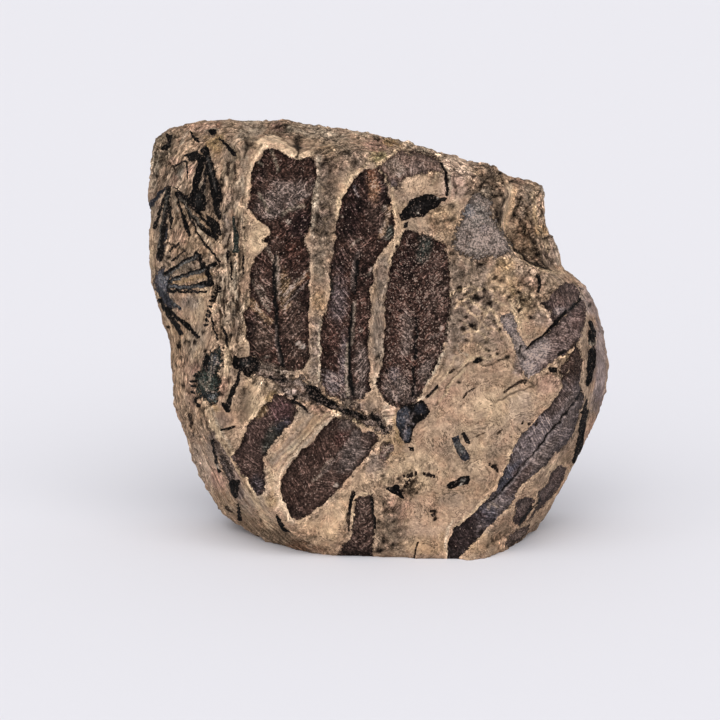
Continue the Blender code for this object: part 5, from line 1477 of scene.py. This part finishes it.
def between(tree, share, first, second):
    """A number between two others."""
    return add_node(tree, "ShaderNodeMix", {0: share, 2: first, 3: second}).outputs[0]


def torn_edge():
    """A mask that is 1 inside a drawn edge and torn into small teeth along it."""
    tree, given, out = new_group(
        "torn_edge", [("Place", "Vector"), ("Gap", "Float"), ("Tear", "Float")], ["Mask"])
    stray = maths(tree, "SUBTRACT", lumps(tree, given["Place"], 0.85 * MM, 4.0, 0.6), 0.5)
    torn = maths(tree, "MULTIPLY_ADD", stray, given["Tear"], given["Gap"])
    soft = maths(tree, "MAXIMUM", maths(tree, "MULTIPLY_ADD", given["Tear"], 0.13, -0.34), 0.06)
    sharp = maths(tree, "MULTIPLY", soft, -1.0)
    tree.links.new(ramp(tree, torn, sharp, soft, 1.0, 0.0), out["Mask"])
    return tree


def swelled(tree, *parts):
    """A shade that is 1 where the parts add up to 0 and swells or shrinks with their sum."""
    total = parts[0]
    for part in parts[1:]:
        total = maths(tree, "ADD", total, part)
    return maths(tree, "POWER", math.e, total)


def grain_place(tree, place, upright, slanted):
    """Coordinates drawn out upright or along a lean where the grain runs that way."""
    leans = maths(tree, "GREATER_THAN", slanted, upright)
    drawn = either(tree, leans, stretched(tree, place, 0.0, STREAK_LENGTH),
                   stretched(tree, place, STREAK_TURN, STREAK_LENGTH))
    streaked = maths(tree, "GREATER_THAN", maths(tree, "MAXIMUM", upright, slanted), 0.4)
    return either(tree, streaked, place, drawn)


def stone_chips():
    """Chips of broken stone: the shade of each, the dark gaps between them and their height."""
    tree, given, out = new_group("stone_chips", [("Place", "Vector")], ["Shade", "Gaps", "Height"])
    stray = add_node(tree, "ShaderNodeTexNoise", {
        "Vector": given["Place"], "Scale": 1 / (1.5 * MM), "Detail": 3.0}).outputs["Color"]
    bent = add_node(tree, "ShaderNodeVectorMath", {
        0: stray, 1: (CHIP_STRAY, CHIP_STRAY, CHIP_STRAY), 2: given["Place"]},
        operation="MULTIPLY_ADD").outputs[0]
    cells = {"Vector": bent, "Scale": 1 / CHIP_SIZE}
    colour = add_node(tree, "ShaderNodeTexVoronoi", cells).outputs["Color"]
    own = add_node(tree, "ShaderNodeSeparateXYZ", {0: colour}).outputs[0]
    rim = add_node(tree, "ShaderNodeTexVoronoi", cells, feature="DISTANCE_TO_EDGE").outputs[0]
    broken = ramp(tree, lumps(tree, given["Place"], 2.5 * MM, 2.0), 0.42, 0.58)
    tree.links.new(swung(tree, own, 1.0), out["Shade"])
    tree.links.new(maths(tree, "MULTIPLY", broken, ramp(tree, rim, 0.0, 0.13, 1.0, 0.0)), out["Gaps"])
    tree.links.new(maths(tree, "MULTIPLY_ADD", own, 0.9, ramp(tree, rim, 0.0, 0.25)), out["Height"])
    return tree


def stone_grain():
    """The grain of mudstone: its shade, its cracks, its dark grit and its height."""
    tree, given, out = new_group(
        "stone_grain", [("Place", "Vector"), ("Grainy", "Float"), ("Upright", "Float"),
                        ("Slanted", "Float")], ["Shade", "Cracks", "Strands", "Specks", "Height"])
    place, grainy = given["Place"], given["Grainy"]
    drawn = grain_place(tree, place, given["Upright"], given["Slanted"])
    chips = place_group(tree, stone_chips(), place=drawn)
    clouds = lumps(tree, place, 7 * MM, 3.0)
    mottle = lumps(tree, drawn, 1.8 * MM, 3.0, 0.6, 0.5)
    grain = lumps(tree, drawn, 0.62 * MM, 3.0, 0.65, 0.3)
    coarse = swung(tree, mottle, maths(tree, "MULTIPLY_ADD", grainy, 4.0, 0.8))
    fine = swung(tree, grain, maths(tree, "MULTIPLY_ADD", grainy, 2.9, 1.2))
    chip = maths(tree, "MULTIPLY", chips["Shade"], maths(tree, "MULTIPLY_ADD", grainy, 0.95, 0.05))
    tree.links.new(swelled(tree, coarse, fine, chip, swung(tree, clouds, 1.1)), out["Shade"])

    seam = swung(tree, lumps(tree, place, 2.6 * MM, 4.0, 0.55, 0.8), 1.0)
    seam = ramp(tree, maths(tree, "ABSOLUTE", seam), 0.006, 0.030, 1.0, 0.0)
    broken = ramp(tree, lumps(tree, place, 4 * MM, 2.0), 0.50, 0.60)
    seam = maths(tree, "MULTIPLY", seam, broken)
    cracks = maths(tree, "MAXIMUM", maths(tree, "MULTIPLY", seam, maths(
        tree, "MULTIPLY_ADD", grainy, 0.8, 0.15)), maths(tree, "MULTIPLY", chips["Gaps"], grainy))
    tree.links.new(cracks, out["Cracks"])
    strand = swung(tree, lumps(tree, drawn, 2.0 * MM, 2.0, 0.5, 1.2), 1.0)
    strand = ramp(tree, maths(tree, "ABSOLUTE", strand), 0.008, 0.036, 1.0, 0.0)
    shown = ramp(tree, lumps(tree, place, 3.4 * MM, 2.0), 0.44, 0.56)
    strand = maths(tree, "MULTIPLY", maths(tree, "MULTIPLY", strand, shown), grainy)
    tree.links.new(strand, out["Strands"])
    level = maths(tree, "MULTIPLY_ADD", grainy, -0.06, 0.69)
    grit = maths(tree, "SUBTRACT", lumps(tree, drawn, 0.95 * MM, 3.0, 0.55, 0.8), level)
    tree.links.new(ramp(tree, grit, 0.0, 0.03), out["Specks"])
    height = maths(tree, "MULTIPLY_ADD", mottle, 1.2, maths(tree, "MULTIPLY", grain, 0.6))
    height = maths(tree, "MULTIPLY_ADD", chips["Height"], 0.6, height)
    height = maths(tree, "MULTIPLY", height, maths(tree, "ADD", grainy, 0.15))
    height = maths(tree, "MULTIPLY_ADD", strand, 0.5, height)
    tree.links.new(maths(tree, "MULTIPLY_ADD", cracks, -0.6, height), out["Height"])
    return tree


def rim_lines():
    """Thin uneven lines in the stone that follow the edge of a film."""
    tree, given, out = new_group("rim_lines", [("Place", "Vector"), ("Gap", "Float")], ["Shade"])
    stray = swung(tree, lumps(tree, given["Place"], 2.6 * MM, 3.0), 4.0)
    level = maths(tree, "ADD", given["Gap"], stray)
    bands = add_node(tree, "ShaderNodeTexNoise", {"W": level, "Scale": 1.5, "Detail": 3.0},
                     noise_dimensions="1D").outputs["Fac"]
    amount = ramp(tree, given["Gap"], 0.3, 4.2, 3.2, 0.0)
    tree.links.new(swelled(tree, swung(tree, bands, amount)), out["Shade"])
    return tree


def thin_flakes():
    """Thin layers split off the stone: the tone of each, painted shade along its broken edge, and the height."""
    tree, given, out = new_group("thin_flakes", [("Place", "Vector")], ["Shade", "Edge", "Height"])
    rise = maths(tree, "MULTIPLY", lumps(tree, given["Place"], 8 * MM, 5.0, 0.6, 0.6), FLAKE_COUNT)
    layer = maths(tree, "FLOOR", rise)
    over = maths(tree, "FRACT", rise)
    own = add_node(tree, "ShaderNodeTexWhiteNoise", {"W": layer}, noise_dimensions="1D").outputs[0]
    tree.links.new(swung(tree, own, 0.5), out["Shade"])
    # Painted shade along the step of each flake, shown in patches.
    kept_edge = ramp(tree, lumps(tree, given["Place"], 5 * MM, 3.0), 0.42, 0.60)
    edge = maths(tree, "MULTIPLY", ramp(tree, over, 0.05, 0.42, 1.0, 0.0), kept_edge)
    tree.links.new(edge, out["Edge"])
    tree.links.new(maths(tree, "ADD", layer, ramp(tree, over, 0.0, 0.25)), out["Height"])
    return tree


def stone_tints():
    """Where the stone turns rosy, olive and ashen, in soft patches."""
    tree, given, out = new_group("stone_tints", [("Place", "Vector")], ["Rosy", "Olive", "Ashen"])
    for name, size in (("Rosy", 5.5), ("Olive", 7.0), ("Ashen", 4.0)):
        patches = lumps(tree, given["Place"], size * MM, 4.0, 0.6, 0.5)
        tree.links.new(ramp(tree, patches, 0.46, 0.64), out[name])
    return tree


def loose_specks():
    """Round specks that lie apart: a mask that is 1 on each, more of them for a larger amount."""
    tree, given, out = new_group("loose_specks", [("Place", "Vector"), ("Amount", "Float")], ["Mask"])
    cells = add_node(tree, "ShaderNodeTexVoronoi", {"Vector": given["Place"], "Scale": 1 / SPECK_CELL})
    own = add_node(tree, "ShaderNodeSeparateXYZ", {0: cells.outputs["Color"]}).outputs[0]
    most = maths(tree, "MULTIPLY", given["Amount"], 0.5)
    chosen = maths(tree, "LESS_THAN", own, most)
    dot = ramp(tree, cells.outputs["Distance"], 0.16, 0.38, 1.0, 0.0)
    tree.links.new(maths(tree, "MULTIPLY", chosen, dot), out["Mask"])
    return tree


def film_grain():
    """A leaf film's fibres and fleck: its shade, the pale grit on it, its height."""
    tree, given, out = new_group(
        "film_grain", [("Place", "Vector"), ("Grit", "Float"), ("Calm", "Float"), ("Run", "Float"),
                       ("Reach", "Float")], ["Shade", "Pale", "Fibre", "Height", "Rusty"])
    place, calm = given["Place"], given["Calm"]
    clouds = lumps(tree, place, 2.6 * MM, 4.0, 0.65, 0.4)
    fleck = lumps(tree, place, 0.66 * MM, 2.0, 0.6, 0.3)
    stray = swung(tree, lumps(tree, place, 3.6 * MM, 4.0), maths(
        tree, "MULTIPLY_ADD", calm, -2.4, 4.0))
    along = add_node(tree, "ShaderNodeCombineXYZ", {
        0: maths(tree, "ADD", given["Run"], stray),
        1: maths(tree, "MULTIPLY", given["Reach"], VEIN_LENGTH)}).outputs[0]
    fibre = ramp(tree, lumps(tree, along, 0.44, 2.0, 0.6), 0.50, 0.62)
    shown = ramp(tree, lumps(tree, place, 4.0 * MM, 3.0, 0.6), 0.38, 0.58, 0.35, 1.0)
    fibre = maths(tree, "MULTIPLY", fibre, shown)
    tree.links.new(fibre, out["Fibre"])
    tree.links.new(swelled(
        tree, swung(tree, clouds, maths(tree, "MULTIPLY_ADD", calm, -3.0, 5.4)),
        swung(tree, fleck, maths(tree, "MULTIPLY_ADD", calm, -2.8, 7.4)),
        maths(tree, "MULTIPLY", maths(tree, "SUBTRACT", fibre, 0.2), maths(
            tree, "MULTIPLY_ADD", calm, -0.8, 1.9))),
        out["Shade"])
    level = maths(tree, "MULTIPLY_ADD", given["Grit"], -0.14, 0.72)
    grit = lumps(tree, place, 0.80 * MM, 3.0, 0.6, 0.4)
    grit = maths(tree, "ADD", grit, swung(tree, clouds, 0.4))
    mottle = ramp(tree, maths(tree, "SUBTRACT", grit, level), -0.01, 0.05)
    specks = place_group(tree, loose_specks(), place=place, amount=given["Grit"])["Mask"]
    tree.links.new(maths(tree, "MAXIMUM", mottle, specks), out["Pale"])
    tree.links.new(maths(tree, "MULTIPLY_ADD", fleck, 0.8, grit), out["Height"])
    rusty = ramp(tree, lumps(tree, place, 3.5 * MM, 3.0, 0.6), 0.48, 0.62)
    tree.links.new(maths(tree, "MULTIPLY", rusty, maths(tree, "SUBTRACT", 1.0, calm)), out["Rusty"])
    return tree


def thin_beds():
    """The shade of the thin beds, seen where they are cut across."""
    tree, given, out = new_group("thin_beds", [("Level", "Float"), ("Amount", "Float")], ["Shade"])
    bands = add_node(tree, "ShaderNodeTexNoise", {"W": given["Level"], "Scale": 1.1, "Detail": 4.0},
                     noise_dimensions="1D").outputs["Fac"]
    shade = swung(tree, bands, maths(tree, "MULTIPLY", given["Amount"], 3.0))
    tree.links.new(swelled(tree, shade), out["Shade"])
    return tree


def place_group(tree, group, **values):
    """A node group in a material, its sockets linked or given values."""
    made = add_node(tree, "ShaderNodeGroup", node_tree=group)
    for name, value in values.items():
        socket = made.inputs[name.capitalize()]
        if isinstance(value, bpy.types.NodeSocket):
            tree.links.new(value, socket)
        else:
            socket.default_value = value
    return made.outputs


def kept(tree, name, output="Fac"):
    """What a point of the mesh keeps under a name."""
    return add_node(tree, "ShaderNodeAttribute", attribute_name=name).outputs[output]


def bare_stone(tree, place, grain, flakes, film_gap):
    """The colour of the stone where no film lies on it, with painted shade in hollows and along flake steps and painted
    highlight on rises.
    """
    tints = place_group(tree, stone_tints(), place=place)
    beds = place_group(tree, thin_beds(), level=kept(tree, "bed"), amount=kept(tree, "layered"))
    colour = shaded(tree, kept(tree, "stone_tone_and_shading", "Color"), grain["Shade"])
    colour = shaded(tree, colour, beds["Shade"])
    # Each flake's own tone, darker along its step as painted shade.
    colour = shaded(tree, colour, swelled(tree, flakes["Shade"],
                                          maths(tree, "MULTIPLY", flakes["Edge"], -1.0)))
    for name, tint in TINTS:
        share = maths(tree, "MULTIPLY", tints[name], 0.45)
        colour = mixed(tree, share, colour, (*tint, 1), "MULTIPLY")
    # Painted shade in the carved hollows and painted highlight on the rises, from how far each point lies below or
    # above the ground round it.
    hollow = kept(tree, "hollow")
    colour = shaded(tree, colour, ramp(tree, hollow, 0.0, 1.6, 1.0, 0.36))
    colour = shaded(tree, colour, ramp(tree, hollow, -1.6, 0.0, 1.12, 1.0))
    dark = maths(tree, "MAXIMUM", maths(tree, "MULTIPLY", grain["Specks"], 0.85),
                 maths(tree, "MULTIPLY", grain["Cracks"], 0.9))
    colour = mixed(tree, dark, colour, (*DEEP_BROWN, 1))
    colour = mixed(tree, maths(tree, "MULTIPLY", grain["Strands"], 0.55), colour, (*STRAND_TONE, 1))
    lines = place_group(tree, rim_lines(), place=place, gap=film_gap)
    return shaded(tree, colour, lines["Shade"])


def leaf_film(tree, film_tone_and_sheen, fleck, film_gap):
    """The colour of a leaf film, with its grit, and darker at its edge: its own margin and painted shade under the
    stone's step.
    """
    colour = mixed(tree, fleck["Rusty"], film_tone_and_sheen, (*RUSTY_TINT, 1), "MULTIPLY")
    colour = shaded(tree, colour, fleck["Shade"])
    colour = mixed(tree, maths(tree, "MULTIPLY", fleck["Pale"], 0.75), colour, (*GRIT_TONE, 1))
    # Darker near the film's edge: the film's own darker margin, and painted shade where it lies under the stone's step.
    edge = maths(tree, "ADD", film_gap, swung(tree, fleck["Height"], 0.8))
    colour = shaded(tree, colour, ramp(tree, edge, -1.4, -0.2, 1.0, 0.55))
    return mixed(tree, 1.0, colour, (*FILM_LIMIT, 1), "DARKEN")


def mudstone():
    """Mudstone with its brown leaf films and black plant scraps."""
    made = bpy.data.materials.new("fern_mudstone")
    made.use_nodes = True
    tree = made.node_tree
    shader = tree.nodes["Principled BSDF"]
    place = add_node(tree, "ShaderNodeTexCoord").outputs["Object"]
    film_gap, black_gap = kept(tree, "film_gap"), kept(tree, "black_gap")
    grain = place_group(tree, stone_grain(), place=place, grainy=kept(tree, "grainy"),
                        upright=kept(tree, "upright"), slanted=kept(tree, "slanted"))
    fleck = place_group(tree, film_grain(), place=place, grit=kept(tree, "grit"), calm=kept(tree, "calm"),
                        run=kept(tree, "vein_run"), reach=kept(tree, "vein_reach"))
    edge = torn_edge()
    film = place_group(tree, edge, place=place, gap=film_gap, tear=kept(tree, "film_tear"))["Mask"]
    black = place_group(tree, edge, place=place, gap=black_gap, tear=BLACK_TEAR)["Mask"]
    worn = ramp(tree, fleck["Height"], 1.14, 1.24, 1.0, 0.3)
    black = maths(tree, "MULTIPLY", black, worn)

    film_tone_and_sheen = kept(tree, "film_tone_and_sheen", "Color")
    flakes = place_group(tree, thin_flakes(), place=place)
    stone = bare_stone(tree, place, grain, flakes, film_gap)
    leaf = leaf_film(tree, film_tone_and_sheen, fleck, film_gap)
    # The black pieces, with lighter flecks and pale specks on them as painted glints.
    black_with_glints = shaded(tree, film_tone_and_sheen, swelled(tree, maths(tree, "MULTIPLY_ADD", fleck["Height"], 5.0, -4.7)))
    black_with_glints = mixed(tree, maths(tree, "MULTIPLY", fleck["Pale"], 0.34), black_with_glints, (*GRIT_TONE, 1))
    colour = mixed(tree, film, stone, leaf)
    colour = mixed(tree, black, colour, black_with_glints)
    tree.links.new(colour, shader.inputs["Base Color"])

    dull = maths(tree, "MULTIPLY_ADD", film, -0.20, 0.92)
    dull = maths(tree, "MULTIPLY_ADD", black, -0.20, dull)
    tree.links.new(dull, shader.inputs["Roughness"])
    shader.inputs["Specular IOR Level"].default_value = 0.04

    leaf_height = maths(tree, "MULTIPLY_ADD", fleck["Fibre"], 0.4, fleck["Height"])
    leaf_height = maths(tree, "MULTIPLY", leaf_height, 0.5)
    stone_height = maths(tree, "MULTIPLY_ADD", flakes["Height"], 0.7, grain["Height"])
    height = between(tree, film, stone_height, leaf_height)
    bump = add_node(tree, "ShaderNodeBump", {"Height": height, "Distance": 0.30 * MM,
                                             "Strength": 0.85})
    tree.links.new(bump.outputs["Normal"], shader.inputs["Normal"])
    return made


GRIT_TONE = tone(164, 140, 126)
STRAND_TONE = tone(190, 162, 134)
FILM_LIMIT = tone(176, 154, 142)   # the palest that a leaf film turns
GLINT_TONE = tone(190, 174, 158)
RUSTY_TINT = (1.05, 0.97, 0.93)     # what the redder patches of a film do to its tone
TINTS = [("Rosy", (1.12, 0.97, 0.94)), ("Olive", (0.97, 0.98, 0.93)), ("Ashen", (0.92, 0.94, 0.98))]
STREAK_TURN = math.radians(28)
STREAK_LENGTH = 4.5                 # how much longer than wide the streaks of the grain are
CHIP_SIZE = 1.9 * MM
SPECK_CELL = 0.75 * MM
CHIP_STRAY = 1.5 * MM
FLAKE_COUNT = 14.0                  # layers from the lowest place of the stone to the highest
VEIN_LENGTH = 0.06                  # how much slower the fibres change along a vein than across
BLACK_SWELL = 0.10                  # millimetres that the black pieces are drawn wider
BLACK_TEAR = 1.0                    # millimetres over which the edge of a black piece crumbles
SOFT_TEAR = 6.0                     # a film torn over this width has no step at its edge


def plain_material(name, colour, roughness):
    made = bpy.data.materials.new(name)
    made.use_nodes = True
    shader = made.node_tree.nodes["Principled BSDF"]
    shader.inputs["Base Color"].default_value = (*colour, 1)
    shader.inputs["Roughness"].default_value = roughness
    return made


def make_stone():
    """The whole fossil: shaped, carved, painted and set in the solid's place."""
    block, foot = shape_block()
    survey = carve(block, foot)
    paint(block, survey)
    block.data.materials.append(mudstone())
    choose(block)
    bpy.ops.object.shade_smooth()
    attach(block, "root")
    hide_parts(NODE)


def make_floor():
    bpy.ops.object.select_all(action="DESELECT")
    bpy.ops.mesh.primitive_plane_add(size=FLOOR_SIZE, location=(0, 0, 0))
    floor = bpy.context.active_object
    floor.name = "floor"
    floor.data.materials.append(plain_material("pale_floor", FLOOR_TONE, 0.9))


def light_scene():
    """A bright room, one wide soft lamp far above and one near the side."""
    world = bpy.data.worlds.new("studio")
    bpy.context.scene.world = world
    world.use_nodes = True
    sky = world.node_tree.nodes["Background"]
    sky.inputs["Color"].default_value = (*SKY_TONE, 1)
    sky.inputs["Strength"].default_value = SKY_LEVEL
    for name, way, width, level in LAMPS:
        lamp = bpy.data.lights.new(name, "SUN")
        lamp.angle = width
        lamp.energy = level
        lamp.color = LAMP_TONE
        holder = bpy.data.objects.new(name, lamp)
        bpy.context.scene.collection.objects.link(holder)
        holder.rotation_euler = Vector(way).to_track_quat("Z", "Y").to_euler()


def add_camera():
    """A camera that faces the middle of the chart from in front and a little above."""
    across, up = chart_middle()
    forward = Vector((0, math.cos(LEAN), -math.sin(LEAN)))
    middle = Vector((across + ORIGIN[0], up * math.sin(LEAN) + ORIGIN[1], up * math.cos(LEAN)))
    camera = bpy.data.objects.new("camera", bpy.data.cameras.new("camera"))
    bpy.context.scene.collection.objects.link(camera)
    camera.location = middle - forward * EYE_DISTANCE
    camera.rotation_euler = (math.pi / 2 - LEAN, 0, 0)
    camera.data.lens = camera.data.sensor_width * EYE_DISTANCE / (CHART_EDGE * UNIT)
    bpy.context.scene.camera = camera


FLOOR_SIZE = 14.0
FLOOR_TONE = (0.735, 0.73, 0.765)
SKY_TONE = (0.95, 0.96, 1.0)
SKY_LEVEL = 0.68
LAMP_TONE = (1.0, 0.98, 0.96)
LAMPS = [                           # name, the way to it, how wide it looks, how strong it is
    ("window", (0.25, -0.80, 1.1), math.radians(60), 1.32),
    ("left_fill", (-0.62, -1.0, 0.66), math.radians(80), 1.04)]

make_stone()
make_floor()
light_scene()
add_camera()
bpy.context.scene.view_settings.view_transform = "Standard"
